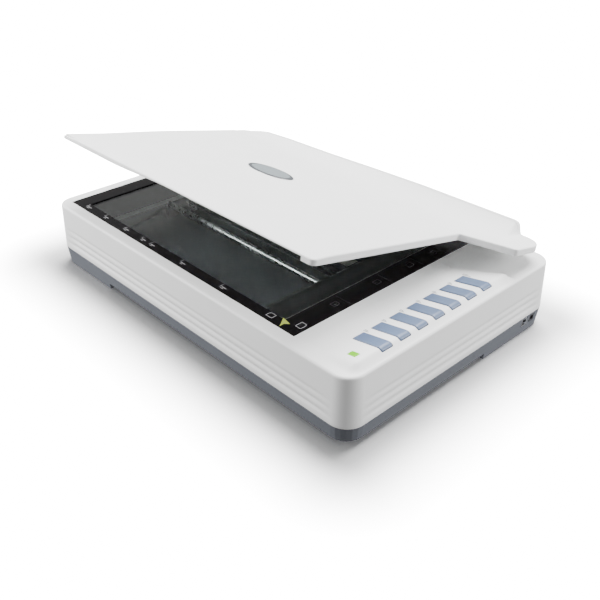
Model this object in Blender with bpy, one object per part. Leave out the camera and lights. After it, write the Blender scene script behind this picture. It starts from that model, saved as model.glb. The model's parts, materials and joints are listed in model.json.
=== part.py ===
"""A3 flatbed scanner with a lifting book-edge lid, as an assembly of separate pieces.

All lengths below are millimetres; meshes are written in metres. +X runs along the long side
towards the key panel, +Y towards the hinges, +Z up. The origin is on the floor under the
middle of the case. The lid stands a little open on raised hinge posts.
"""

import math

import bmesh
import bpy
from mathutils import Vector

MM = 0.001

# ---- driving dimensions ----------------------------------------------------------------
CASE_LENGTH = 623.0
CASE_DEPTH = 400.0
DECK_HEIGHT = 98.3
SPLIT_HEIGHT = 28.6          # where the grey tray meets the white cover
SKIRT_HEIGHT = 10.0          # underside of the tray between its feet
CORNER_RADIUS = 26.5
COVER_DRAFT = 0.033          # how much the cover leans in per unit of height
TRAY_DRAFT = 0.123           # how much the tray leans in towards the floor
WALL = 2.6
GAP = 0.3                    # clearance between pieces that touch
SLIDE_GAP = 0.6              # clearance around pieces that slide
TOP_ROUNDING = 3.5

# glass and the black frame around it
SCAN_LENGTH = 436.0
SCAN_DEPTH = 308.0
FRAME_LEFT, FRAME_RIGHT = 27.0, 32.6
FRAME_FRONT, FRAME_BACK = 16.0, 16.0
FRAME_END_X = 205.2          # right edge of the frame
FRAME_FRONT_Y = -179.6
FRAME_LIP = 1.0
FRAME_FLANGE = 3.0
FRAME_THICKNESS = 6.0
GLASS_THICKNESS = 3.6
GLASS_SEAT = 6.0

# key panel
CREASE_X, CREST_X, EAVES_X = 224.0, 294.5, 304.0
CREASE_DROP = 2.2            # the crease lies this far below the deck
SHELF_X, SHELF_RISE = 255.0, 0.2     # where the panel starts to climb
CREST_RISE = 7.6
EAVES_RISE = 0.3
PANEL_FRONT_Y, PANEL_FRONT_CREST_Y = -176.5, -170.0
RIM_WIDTH = 8.0              # flat rim in front of the panel's front slope
KEY_COUNT = 7
KEY_PITCH = 31.15
KEY_WIDTH = 18.0
KEY_FIRST_Y = -125.0
KEY_START_X, KEY_END_X = 254.6, 298.4
KEY_PROUD = 0.9
KEY_SKIN = 3.2
KEY_TRAVEL = 1.6
KEY_SLOT_GAP = 0.5
LED_X, LED_Y, LED_SIZE = 280.0, -159.8, (12.0, 8.6)

# hinges and lid; u runs over the lid from its rear towards its front edge
LID_ANGLE = 13.4             # how far the lid stands open
LIFT_REST = 15.1             # how far the hinge posts stand up
AXIS_Y = 172.3
AXIS_U = -11.0               # hinge axis along the lid
AXIS_OVER = 2.0              # hinge axis above the lid's lower edge
LID_CLEARANCE = 1.3          # closed lid above the deck
LID_LEFT, LID_RIGHT = -296.0, 229.5
WING_END = 300.0
LID_REAR, LID_FRONT = -24.0, 345.1
NOTCH_U, WING_U = 75.6, 46.7
LID_THICK = 9.4
LID_SKIN = 2.5
LID_CORNER, LID_REAR_CORNER = 7.0, 26.0
LID_REAR_CHAMFER = (9.0, 2.4)
# height of the ridge along the lid's rear edge, as (x, height over the lid's lower edge)
RIDGE = (
    (-282.0, LID_THICK),
    (-269.0, 12.8),
    (-252.0, 15.4),
    (-195.0, 17.7),
    (-98.0, 19.4),
    (-9.0, 22.4),
    (88.0, 25.1),
    (251.0, 25.6),
    (256.0, 22.5),
    (260.5, LID_THICK),
)
RIDGE_TOP = 25.6
RIDGE_CREST_U, RIDGE_FOOT_U = -20.5, 22.0
FRONT_ROLL = 34.0            # run of the front edge's gentle fall
FRONT_LIP = 5.0              # underside of the thin front edge
FRONT_LIP_DEPTH = 12.0
PAD_THICK = 2.5
PAD_BELOW = 0.6
PANEL_REAR_U = 24.0
BADGE_X, BADGE_U, BADGE_SIZE = -60.5, 145.5, (44.0, 20.6)
HINGE_X = (-235.0, 235.0)
POST_WIDTH, POST_THICK, POST_LENGTH = 22.0, 8.0, 84.0
HEAD_RADIUS, PIN_RADIUS = 4.5, 2.2
EAR_THICK = 5.0
BAY_HEIGHT = 8.6             # opening in the lid's rear wall for each post
PLATE_FRONT_Y = -31.0        # front end of the plate that carries each pair of ears

# scanning carriage and its drive
CARRIAGE_X, CARRIAGE_HALF = 160.0, 34.0
CARRIAGE_Y = (-158.0, 152.0)
CARRIAGE_Z = (40.0, 88.0)
ROD_Z, ROD_RADIUS = 32.0, 5.0
ROD_X = (-298.0, 198.0)
BUSH_RADIUS, BUSH_LENGTH = 8.0, 12.0
RAIL_Y = (CARRIAGE_Y[0] + 10.0, CARRIAGE_Y[1] - 10.0)
GLIDE_HEIGHT = 3.5           # from the carriage's floor down to its glides' faces
BELT_Y, BELT_Z, BELT_THICK = 40.0, (27.0, 33.0), 1.3
DRIVE_X, IDLER_X = 228.0, -285.0
PULLEY_RADIUS = 6.7
GEAR_MODULE, GEAR_TEETH, PINION_TEETH = 1.0, 40, 12
GEAR_Z = (16.0, 22.0)
GEAR_BACKLASH = 0.35
MOTOR_DIRECTION = -60.0      # degrees, from the gear's axle to the motor's
AXLE_RADIUS = 2.5

# tray details
HALF_X, HALF_Y = CASE_LENGTH / 2, CASE_DEPTH / 2
FOOT_LINE_X, FOOT_LINE_FRONT, FOOT_LINE_BACK = 176.0, -140.0, 59.2
FOOT_RISE = 1.5
FOOT_WIDTH = 12.0
PAD_RADIUS, PAD_HEIGHT = 9.0, 3.2
FOOT_XY = ((-283.0, -171.0), (268.0, -157.0), (-283.0, 171.0), (283.0, 171.0))
SCREW_XY = [(sx * (HALF_X - 14.5), sy * (HALF_Y - 14.0)) for sx in (-1, 1) for sy in (-1, 1)]
FLOOR_THICK = 2.5
USB_Y, USB_Z, USB_SIZE = 146.5, 20.6, (12.2, 11.0)
JACK_Y, JACK_Z, JACK_SIZE = 163.6, 20.6, 10.6
LOCK_X, LOCK_Y = 172.0, -120.0
LOCK_TRAVEL = 8.0

FLOOR_TOP = SKIRT_HEIGHT + FLOOR_THICK
FRAME_X = (FRAME_END_X - FRAME_RIGHT - SCAN_LENGTH - FRAME_LEFT, FRAME_END_X)
FRAME_Y = (FRAME_FRONT_Y, FRAME_FRONT_Y + FRAME_FRONT + SCAN_DEPTH + FRAME_BACK)
SCAN_X = (FRAME_X[0] + FRAME_LEFT, FRAME_X[1] - FRAME_RIGHT)
SCAN_Y = (FRAME_Y[0] + FRAME_FRONT, FRAME_Y[1] - FRAME_BACK)
AXIS_Z = DECK_HEIGHT + LID_CLEARANCE + AXIS_OVER     # with the posts right down
DECK_CUT_Z = (DECK_HEIGHT - 18.3, DECK_HEIGHT + 21.7)     # cutters go right through the deck
EAR_REACH = POST_WIDTH / 2 + SLIDE_GAP + EAR_THICK
KEY_Y = [KEY_FIRST_Y + i * KEY_PITCH for i in range(KEY_COUNT)]


# ---- small modelling kit ---------------------------------------------------------------
for old in list(bpy.data.objects):
    bpy.data.objects.remove(old)


def material(name, color, roughness, metallic=0.0):
    made = bpy.data.materials.new(name)
    made.use_nodes = True
    shader = made.node_tree.nodes["Principled BSDF"]
    shader.inputs["Base Color"].default_value = (*color, 1.0)
    shader.inputs["Roughness"].default_value = roughness
    shader.inputs["Metallic"].default_value = metallic
    return made


WHITE = material("white_plastic", (0.78, 0.79, 0.78), 0.45)
GREY = material("grey_plastic", (0.29, 0.31, 0.35), 0.55)
BLACK = material("black_frame", (0.02, 0.018, 0.02), 0.35)
GLASS = material("glass", (0.10, 0.12, 0.12), 0.05)
KEY_BLUE = material("key_plastic", (0.38, 0.46, 0.58), 0.4)
LED_GREEN = material("status_lens", (0.50, 0.80, 0.08), 0.3)
FOAM = material("foam_pad", (0.85, 0.85, 0.83), 0.9)
STEEL = material("steel", (0.55, 0.56, 0.58), 0.3, 1.0)
BRASS = material("sintered_bronze", (0.55, 0.38, 0.18), 0.45, 1.0)
BOARD = material("circuit_board", (0.03, 0.22, 0.10), 0.5)
DARK = material("dark_plastic", (0.04, 0.04, 0.045), 0.5)
NYLON = material("nylon", (0.80, 0.78, 0.70), 0.5)
RUBBER = material("rubber", (0.03, 0.03, 0.03), 0.85)
LAMP = material("lamp_tube", (0.85, 0.88, 0.90), 0.15)
BADGE = material("badge", (0.55, 0.60, 0.62), 0.25, 0.6)
MIRROR = material("mirror", (0.80, 0.82, 0.84), 0.03, 1.0)


def empty(name, at, parent=None, tilt=0.0):
    """An axis or origin that a moving body's pieces hang from."""
    made = bpy.data.objects.new(name, None)
    bpy.context.scene.collection.objects.link(made)
    made.parent = parent
    made.location = Vector(at) * MM
    made.rotation_euler.x = math.radians(tilt)
    return made


def solid(name, points, faces, finish=WHITE, parent=None):
    """A closed mesh with its faces pointing out, in its parent's space."""
    mesh = bpy.data.meshes.new(name)
    mesh.from_pydata([Vector(p) * MM for p in points], [], faces)
    work = bmesh.new()
    work.from_mesh(mesh)
    bmesh.ops.recalc_face_normals(work, faces=work.faces)
    work.to_mesh(mesh)
    work.free()
    mesh.materials.append(finish)
    made = bpy.data.objects.new(name, mesh)
    bpy.context.scene.collection.objects.link(made)
    made.parent = parent
    return made


def loft(name, rings, finish=WHITE, parent=None):
    """Joins rings of points, all with the same count, and caps both ends."""
    count = len(rings[0])
    points = [p for ring in rings for p in ring]
    faces = [tuple(range(count)), tuple(range(len(points) - count, len(points)))]
    for level in range(len(rings) - 1):
        low, high = level * count, (level + 1) * count
        for i in range(count):
            j = (i + 1) % count
            faces.append((low + i, low + j, high + j, high + i))
    return solid(name, points, faces, finish, parent)


def prism(name, outline, axis, start, end, finish=WHITE, parent=None):
    """An outline of (a, b) points drawn along axis x (a=y, b=z), y (a=x, b=z) or z (a=x, b=y)."""
    place = {
        "x": lambda a, b, t: (t, a, b),
        "y": lambda a, b, t: (a, t, b),
        "z": lambda a, b, t: (a, b, t),
    }[axis]
    rings = [[place(a, b, t) for a, b in outline] for t in (start, end)]
    return loft(name, rings, finish, parent)


def box(name, x, y, z, finish=WHITE, parent=None):
    outline = [(x[0], y[0]), (x[1], y[0]), (x[1], y[1]), (x[0], y[1])]
    return prism(name, outline, "z", z[0], z[1], finish, parent)


def circle(radius, center=(0.0, 0.0), sides=24, first=0.0, last=360.0):
    whole = abs(last - first) >= 360.0
    steps = sides if whole else sides + 1
    turns = [math.radians(first + (last - first) * i / sides) for i in range(steps)]
    return [(center[0] + radius * math.cos(a), center[1] + radius * math.sin(a)) for a in turns]


def rod(name, axis, center, radius, start, end, finish=STEEL, parent=None, sides=24):
    return prism(name, circle(radius, center, sides), axis, start, end, finish, parent)


def combine(target, tool, operation):
    """Applies one Boolean to target and removes the tool."""
    step = target.modifiers.new(operation.lower(), "BOOLEAN")
    step.operation = operation
    step.solver = "EXACT"
    step.object = tool
    bpy.context.view_layer.update()
    shaped = target.evaluated_get(bpy.context.evaluated_depsgraph_get())
    mesh = bpy.data.meshes.new_from_object(shaped)
    target.modifiers.remove(step)
    target.data = mesh
    bpy.data.objects.remove(tool)
    return target


def cut(target, tool):
    return combine(target, tool, "DIFFERENCE")


def join(target, tool):
    return combine(target, tool, "UNION")


def keep_inside(target, tool):
    return combine(target, tool, "INTERSECT")


def shade(target, angle=35.0):
    target.data.shade_smooth()
    target.data.set_sharp_from_angle(angle=math.radians(angle))
    return target


def case_outline(inset, ridge_inset=0.0, z=0.0, arc_steps=6, fade=26.0):
    """The case's plan outline, with a groove that fades out before each rounded corner."""
    radius = CORNER_RADIUS - inset
    reach_x, reach_y = HALF_X - CORNER_RADIUS, HALF_Y - CORNER_RADIUS
    ring = []
    corners = ((1, -1, -90.0), (1, 1, 0.0), (-1, 1, 90.0), (-1, -1, 180.0))
    for sx, sy, first in corners:
        for x, y in circle(radius, (sx * reach_x, sy * reach_y), arc_steps, first, first + 90.0):
            ring.append((x, y, z))
        turn = math.radians(first + 90.0)
        along = Vector((-math.sin(turn), math.cos(turn)))
        out = Vector((math.cos(turn), math.sin(turn)))
        run = 2 * (reach_y if abs(along.y) > 0.5 else reach_x)
        corner = Vector((sx * reach_x, sy * reach_y))
        for distance in (fade, run - fade):
            point = corner + along * distance + out * (radius - ridge_inset)
            ring.append((point.x, point.y, z))
    return ring


# ---- top surface of the cover ----------------------------------------------------------
def wing_line(x):
    """Where the closed lid's slanted wing edge runs, as y over the deck."""
    slope = (NOTCH_U - WING_U) / (WING_END - LID_RIGHT)
    return AXIS_Y + AXIS_U - NOTCH_U + slope * (x - LID_RIGHT)


def panel_height(x):
    """Height of the key panel's surface, from the crease over the crest to the eaves."""
    knots = (
        (FRAME_END_X + 1.0, 0.0),
        (CREASE_X, -CREASE_DROP),
        (SHELF_X, SHELF_RISE),
        (CREST_X, CREST_RISE),
        (EAVES_X, EAVES_RISE),
        (HALF_X + 20.0, 0.0),
    )
    for (x0, z0), (x1, z1) in zip(knots, knots[1:]):
        if x <= x1:
            return DECK_HEIGHT + z0 + (z1 - z0) * (x - x0) / (x1 - x0)
    return DECK_HEIGHT


def top_solid(name, drop, bottom):
    """Everything below the cover's top surface, lowered by drop."""
    far = 40.0
    columns = [-HALF_X - far, FRAME_END_X + 1.0, CREASE_X, SHELF_X, CREST_X, EAVES_X, HALF_X + far]
    rows = []
    for x in columns:
        crest_share = min(max((x - CREASE_X) / (CREST_X - CREASE_X), 0.0), 1.0)
        front = PANEL_FRONT_Y + (PANEL_FRONT_CREST_Y - PANEL_FRONT_Y) * crest_share
        level = wing_line(min(max(x, LID_RIGHT), WING_END))
        back_end = level - 1.5
        back = back_end - 1.5 - 7.0 * crest_share
        flat = DECK_HEIGHT
        raised = panel_height(x) if x > FRAME_END_X + 1.0 else flat
        rows.append(
            [
                (x, -HALF_Y - far, flat),
                (x, -HALF_Y + RIM_WIDTH, flat),
                (x, front, raised),
                (x, back, raised),
                (x, back_end, flat),
                (x, HALF_Y + far, flat),
            ]
        )
    count = len(rows[0])
    points = [(x, y, z - drop) for row in rows for x, y, z in row]
    points += [(x, y, bottom) for row in rows for x, y, z in row]
    half = len(points) // 2
    faces = []
    for i in range(len(rows) - 1):
        for j in range(count - 1):
            a, b = i * count + j, (i + 1) * count + j
            for quad in ((a, b, b + 1, a + 1), (a + half, a + 1 + half, b + 1 + half, b + half)):
                faces += [(quad[0], quad[1], quad[2]), (quad[0], quad[2], quad[3])]
    for i in range(len(rows) - 1):
        for a, b in ((i * count, (i + 1) * count), ((i + 1) * count + count - 1, i * count + count - 1)):
            faces.append((a, a + half, b + half, b))
    for j in range(count - 1):
        last = (len(rows) - 1) * count
        faces.append((j, j + 1, j + 1 + half, j + half))
        faces.append((last + j, last + j + half, last + j + 1 + half, last + j + 1))
    return solid(name, points, faces)


GROOVE_LEVELS = (39.6, 50.1, 60.8)
GROOVE_DEPTH, GROOVE_HALF, GROOVE_FLAT = 0.9, 4.0, 1.0


def cover_inset(z):
    return COVER_DRAFT * (z - SPLIT_HEIGHT)


def round_top_edge(target):
    """Rounds the edge where the cover's sides meet its top."""
    work = bmesh.new()
    work.from_mesh(target.data)
    bmesh.ops.dissolve_limit(work, angle_limit=0.002, verts=work.verts, edges=work.edges)
    rim = []
    for edge in work.edges:
        if len(edge.link_faces) != 2:
            continue
        tilt = sorted(face.normal.z for face in edge.link_faces)
        if abs(tilt[0]) < 0.3 and tilt[1] > 0.8:
            rim.append(edge)
    bmesh.ops.bevel(work, geom=rim, offset=TOP_ROUNDING * MM, segments=3, profile=0.5, affect="EDGES")
    bmesh.ops.triangulate(work, faces=work.faces)
    bmesh.ops.dissolve_degenerate(work, dist=0.01 * MM, edges=work.edges)
    work.to_mesh(target.data)
    work.free()
    return target


def make_upper_case():
    bottom = SPLIT_HEIGHT + GAP
    tall = DECK_HEIGHT + 30.0
    rings = [case_outline(0.0, z=bottom)]
    for level in GROOVE_LEVELS:
        for offset, depth in (
            (-GROOVE_HALF, 0.0),
            (-GROOVE_FLAT, GROOVE_DEPTH),
            (GROOVE_FLAT, GROOVE_DEPTH),
            (GROOVE_HALF, 0.0),
        ):
            z = level + offset
            rings.append(case_outline(cover_inset(z), depth, z))
    rings.append(case_outline(cover_inset(tall), z=tall))
    case = loft("upper_case", rings)
    keep_inside(case, top_solid("top_surface", 0.0, 0.0))
    round_top_edge(case)
    inner = [case_outline(WALL + cover_inset(z), z=z) for z in (bottom - 2.0, tall)]
    cavity = loft("cavity", inner)
    keep_inside(cavity, top_solid("ceiling", WALL, 0.0))
    cut(case, cavity)
    hole_x = (FRAME_X[0] - GAP, FRAME_X[1] + GAP)
    hole_y = (FRAME_Y[0] - GAP, FRAME_Y[1] + GAP)
    cut(case, box("frame_hole", hole_x, hole_y, DECK_CUT_Z))
    for y in KEY_Y:
        slot_y = (y - KEY_WIDTH / 2 - KEY_SLOT_GAP, y + KEY_WIDTH / 2 + KEY_SLOT_GAP)
        slot_x = (KEY_START_X - KEY_SLOT_GAP, KEY_END_X + KEY_SLOT_GAP)
        cut(case, box("key_slot", slot_x, slot_y, DECK_CUT_Z))
    lens_x = (LED_X - LED_SIZE[0] / 2 - GAP, LED_X + LED_SIZE[0] / 2 + GAP)
    lens_y = (LED_Y - LED_SIZE[1] / 2 - GAP, LED_Y + LED_SIZE[1] / 2 + GAP)
    cut(case, box("lens_hole", lens_x, lens_y, DECK_CUT_Z))
    for x in HINGE_X:
        half = EAR_REACH + SLIDE_GAP
        deep = HEAD_RADIUS + 2 * SLIDE_GAP
        hole = box("post_hole", (x - half, x + half), (AXIS_Y - deep, AXIS_Y + deep), DECK_CUT_Z)
        cut(case, hole)
    for x, y in SCREW_XY:
        join(case, rod("screw_post", "z", (x, y), 3.9, FLOOR_TOP + GAP, DECK_HEIGHT - WALL / 2, sides=12))
        cut(case, rod("screw_bore", "z", (x, y), 1.9, FLOOR_TOP - 1.0, FLOOR_TOP + 24.0, sides=12))
    return shade(case)


def make_lower_case():
    def tray_inset(z):
        return TRAY_DRAFT * (SPLIT_HEIGHT - z)

    levels = (FOOT_RISE, SPLIT_HEIGHT)
    tray = loft("lower_case", [case_outline(tray_inset(z), z=z) for z in levels], GREY)
    inside = [case_outline(WALL + tray_inset(z), z=z) for z in (FLOOR_TOP, SPLIT_HEIGHT + 1.0)]
    cut(tray, loft("tray_cavity", inside))
    # between the feet the skirt ends higher
    low = (-5.0, SKIRT_HEIGHT)
    far = HALF_X + 20.0
    cut(tray, box("front_gap", (-FOOT_LINE_X, far), (-far, FOOT_LINE_BACK), low))
    cut(tray, box("left_gap", (-far, -FOOT_LINE_X + 1.0), (FOOT_LINE_FRONT, FOOT_LINE_BACK), low))
    cut(tray, box("rear_gap", (-FOOT_LINE_X, FOOT_LINE_X), (FOOT_LINE_BACK - 1.0, far), low))
    hollow_x, hollow_y = HALF_X - FOOT_WIDTH, HALF_Y - FOOT_WIDTH
    cut(tray, box("foot_hollow", (-hollow_x, hollow_x), (-hollow_y, hollow_y), low))
    for x, y in FOOT_XY:
        join(tray, rod("foot_boss", "z", (x, y), PAD_RADIUS + 3.0, FOOT_RISE, FLOOR_TOP - 0.5))
        cut(tray, rod("pad_recess", "z", (x, y), PAD_RADIUS + GAP, 0.0, PAD_HEIGHT + GAP))
    for x, y in SCREW_XY:
        cut(tray, rod("screw_hole", "z", (x, y), 2.2, 0.0, FLOOR_TOP + 1.0, sides=12))
        cut(tray, rod("head_room", "z", (x, y), 4.6, 0.0, SKIRT_HEIGHT, sides=16))
    wall = (HALF_X - 14.0, HALF_X + 5.0)
    for y, z, wide, high in (
        (USB_Y, USB_Z, USB_SIZE[0], USB_SIZE[1]),
        (JACK_Y, JACK_Z, JACK_SIZE, JACK_SIZE),
    ):
        half_y, half_z = wide / 2 + GAP, high / 2 + GAP
        cut(tray, box("port_hole", wall, (y - half_y, y + half_y), (z - half_z, z + half_z)))
    # moulded rails under the carriage's glides, and a saddle at each end of the guide rod
    rail_top = CARRIAGE_Z[0] - GLIDE_HEIGHT - GAP
    for y in RAIL_Y:
        join(tray, box("rail_web", ROD_X, (y - 1.5, y + 1.5), (FLOOR_TOP - 0.5, rail_top)))
    for x in (ROD_X[0] + 6.0, ROD_X[1] - 6.0):
        join(tray, box("saddle", (x - 4.0, x + 4.0), (-11.0, 11.0), (FLOOR_TOP - 0.5, ROD_Z)))
        cut(tray, rod("trough", "x", (0.0, ROD_Z), ROD_RADIUS + GAP, x - 10, x + 10))
    lock_x = (LOCK_X - 4.0 - GAP, LOCK_X + 4.0 + LOCK_TRAVEL + GAP)
    cut(tray, box("lock_slot", lock_x, (LOCK_Y - 3.6, LOCK_Y + 3.6), (0.0, 20.0)))
    return shade(tray)


def make_feet_and_screws():
    for number, (x, y) in enumerate(FOOT_XY, 1):
        shade(rod(f"rubber_foot_{number}", "z", (x, y), PAD_RADIUS, 0.0, PAD_HEIGHT, RUBBER))
    for number, (x, y) in enumerate(SCREW_XY, 1):
        shank = rod(f"case_screw_{number}", "z", (x, y), 1.5, SKIRT_HEIGHT - 2.0, FLOOR_TOP + 20.0, sides=12)
        head = rod("screw_head", "z", (x, y), 4.0, SKIRT_HEIGHT - 2.6, SKIRT_HEIGHT - GAP, sides=16)
        shade(join(shank, head))


# ---- bed ---------------------------------------------------------------------------------
def make_bed():
    top = DECK_HEIGHT
    flange_top = panel_height(FRAME_X[1] + FRAME_FLANGE) - WALL - GAP
    frame = box("document_frame", FRAME_X, FRAME_Y, (flange_top - 1.0, top), BLACK)
    flange_x = (FRAME_X[0] - FRAME_FLANGE, FRAME_X[1] + FRAME_FLANGE)
    flange_y = (FRAME_Y[0] - FRAME_FLANGE, FRAME_Y[1] + FRAME_FLANGE)
    join(frame, box("flange", flange_x, flange_y, (top - FRAME_THICKNESS, flange_top)))
    cut(frame, box("window", SCAN_X, SCAN_Y, DECK_CUT_Z))
    seat = GLASS_SEAT + GAP
    pocket_x = (SCAN_X[0] - seat, SCAN_X[1] + seat)
    pocket_y = (SCAN_Y[0] - seat, SCAN_Y[1] + seat)
    cut(frame, box("glass_pocket", pocket_x, pocket_y, (80.0, top - FRAME_LIP)))
    glass_x = (SCAN_X[0] - GLASS_SEAT, SCAN_X[1] + GLASS_SEAT)
    glass_y = (SCAN_Y[0] - GLASS_SEAT, SCAN_Y[1] + GLASS_SEAT)
    glass_top = top - FRAME_LIP - GAP
    box("scan_glass", glass_x, glass_y, (glass_top - GLASS_THICKNESS, glass_top), GLASS)
    # white reference strip under the parked end of the glass
    strip_x = (SCAN_X[1] - 4.0, SCAN_X[1] + 4.0)
    strip_z = glass_top - GLASS_THICKNESS - GAP
    box("calibration_strip", strip_x, SCAN_Y, (strip_z - 0.8, strip_z), NYLON)


# ---- keys --------------------------------------------------------------------------------
def make_keys():
    def outline(x0, x1, over, under, stem=None):
        top = [(x0, panel_height(x0) + over)]
        if x0 < CREST_X < x1:
            top.append((CREST_X, panel_height(CREST_X) + over))
        top.append((x1, panel_height(x1) + over))
        low = [(x, z - over - under) for x, z in reversed(top)]
        if stem:
            center, half, foot = stem
            index = len(low) - 1
            low[index:index] = [
                (center + half, panel_height(center + half) - under),
                (center + half, foot),
                (center - half, foot),
                (center - half, panel_height(center - half) - under),
            ]
        return top + low

    board_top = DECK_HEIGHT - 12.0
    switch_top = board_top + 3.4
    for number, y in enumerate(KEY_Y, 1):
        stem = (268.0, 3.0, switch_top + GAP + KEY_TRAVEL)
        shape = outline(KEY_START_X, KEY_END_X, KEY_PROUD, KEY_SKIN, stem)
        name = f"key_{number}"
        pivot = empty(f"{name}_origin", (268.0, y, board_top))
        local = [(x - 268.0, z - board_top) for x, z in shape]
        shade(prism(name, local, "y", -KEY_WIDTH / 2, KEY_WIDTH / 2, KEY_BLUE, pivot))
    board_y = (KEY_Y[0] - 35.0, KEY_Y[-1] + 12.0)
    board = box("key_board", (250.0, 288.0), board_y, (board_top - 1.6, board_top), BOARD)
    for y in KEY_Y:
        join(board, box("switch", (265.0, 271.0), (y - 3.0, y + 3.0), (board_top - 0.5, switch_top)))
    x0, x1 = LED_X - LED_SIZE[0] / 2, LED_X + LED_SIZE[0] / 2
    y0, y1 = LED_Y - LED_SIZE[1] / 2, LED_Y + LED_SIZE[1] / 2
    lens = [
        (x0, panel_height(x0) + 0.3),
        (x1, panel_height(x1) + 0.3),
        (x1, board_top + GAP + 2.0),
        (x0, board_top + GAP + 2.0),
    ]
    prism("status_lens", lens, "y", y0, y1, LED_GREEN)


# ---- lid ---------------------------------------------------------------------------------
def lid_top(u):
    """Height of the lid's top face over its lower edge, where its rear ridge stands highest."""
    roll_start = LID_FRONT - FRONT_ROLL
    if u > roll_start:
        share = (u - roll_start) / FRONT_ROLL
        return LID_THICK - 2.0 * share * share
    if u > RIDGE_FOOT_U:
        return LID_THICK
    share = min((RIDGE_FOOT_U - u) / (RIDGE_FOOT_U - RIDGE_CREST_U), 1.0)
    return LID_THICK + (RIDGE_TOP - LID_THICK) * share * share


def rounded(corners, steps=4):
    """A plan outline of (x, y, radius) corners, each rounded by an arc."""
    ring = []
    for i, (x, y, radius) in enumerate(corners):
        here = Vector((x, y))
        before = (Vector(corners[i - 1][:2]) - here).normalized()
        after = (Vector(corners[(i + 1) % len(corners)][:2]) - here).normalized()
        half = before.angle(after) / 2
        back_off = radius / math.tan(half)
        middle = here + (before + after).normalized() * (radius / math.sin(half))
        first, last = here + before * back_off, here + after * back_off
        a0 = math.atan2(first.y - middle.y, first.x - middle.x)
        a1 = math.atan2(last.y - middle.y, last.x - middle.x)
        sweep = (a1 - a0 + math.pi) % (2 * math.pi) - math.pi
        for k in range(steps + 1):
            a = a0 + sweep * k / steps
            ring.append((middle.x + radius * math.cos(a), middle.y + radius * math.sin(a)))
    return ring


def lid_y(u):
    return AXIS_U - u


def lid_outline(inset, front=None, rear=None):
    """The lid's L-shaped plan, in lid space, as seen from above."""
    slope = (NOTCH_U - WING_U) / (WING_END - LID_RIGHT)
    lean = math.hypot(1.0, slope)
    notch = NOTCH_U - inset * (lean - slope)
    end = WING_END - inset
    wing = WING_U - inset * (lean - slope)
    front = LID_FRONT - inset if front is None else front
    rear_radius = LID_REAR_CORNER - inset if rear is None else LID_CORNER
    rear = LID_REAR + inset if rear is None else rear
    radius = LID_CORNER - inset
    return rounded(
        [
            (LID_LEFT + inset, lid_y(rear), rear_radius),
            (LID_LEFT + inset, lid_y(front), radius),
            (LID_RIGHT - inset, lid_y(front), radius),
            (LID_RIGHT - inset, lid_y(notch), radius),
            (end, lid_y(wing), radius),
            (end, lid_y(rear), rear_radius),
        ]
    )


def lid_profile(drop, low, shift=0.0, rear=LID_REAR, step_count=9):
    """The lid's cross-section as (y, z) in lid space."""
    stations = [rear]
    stations += [RIDGE_CREST_U + (RIDGE_FOOT_U - RIDGE_CREST_U) * i / step_count for i in range(step_count + 1)]
    stations += [LID_FRONT - FRONT_ROLL, LID_FRONT - FRONT_ROLL / 2, LID_FRONT, LID_FRONT + 10.0]
    top = [(lid_y(u + shift), lid_top(min(u, LID_FRONT)) - drop - AXIS_OVER) for u in stations]
    return top + [(top[-1][0], low), (top[0][0], low)]


def ridge_outline(drop, inset):
    """Everything below the ridge's crest line, as (x, z) in lid space."""
    line = [(-400.0, LID_THICK), *RIDGE, (400.0, LID_THICK)]
    top = [(x - math.copysign(inset, x), z - drop - AXIS_OVER) for x, z in line]
    return top + [(400.0, -40.0), (-400.0, -40.0)]


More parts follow.
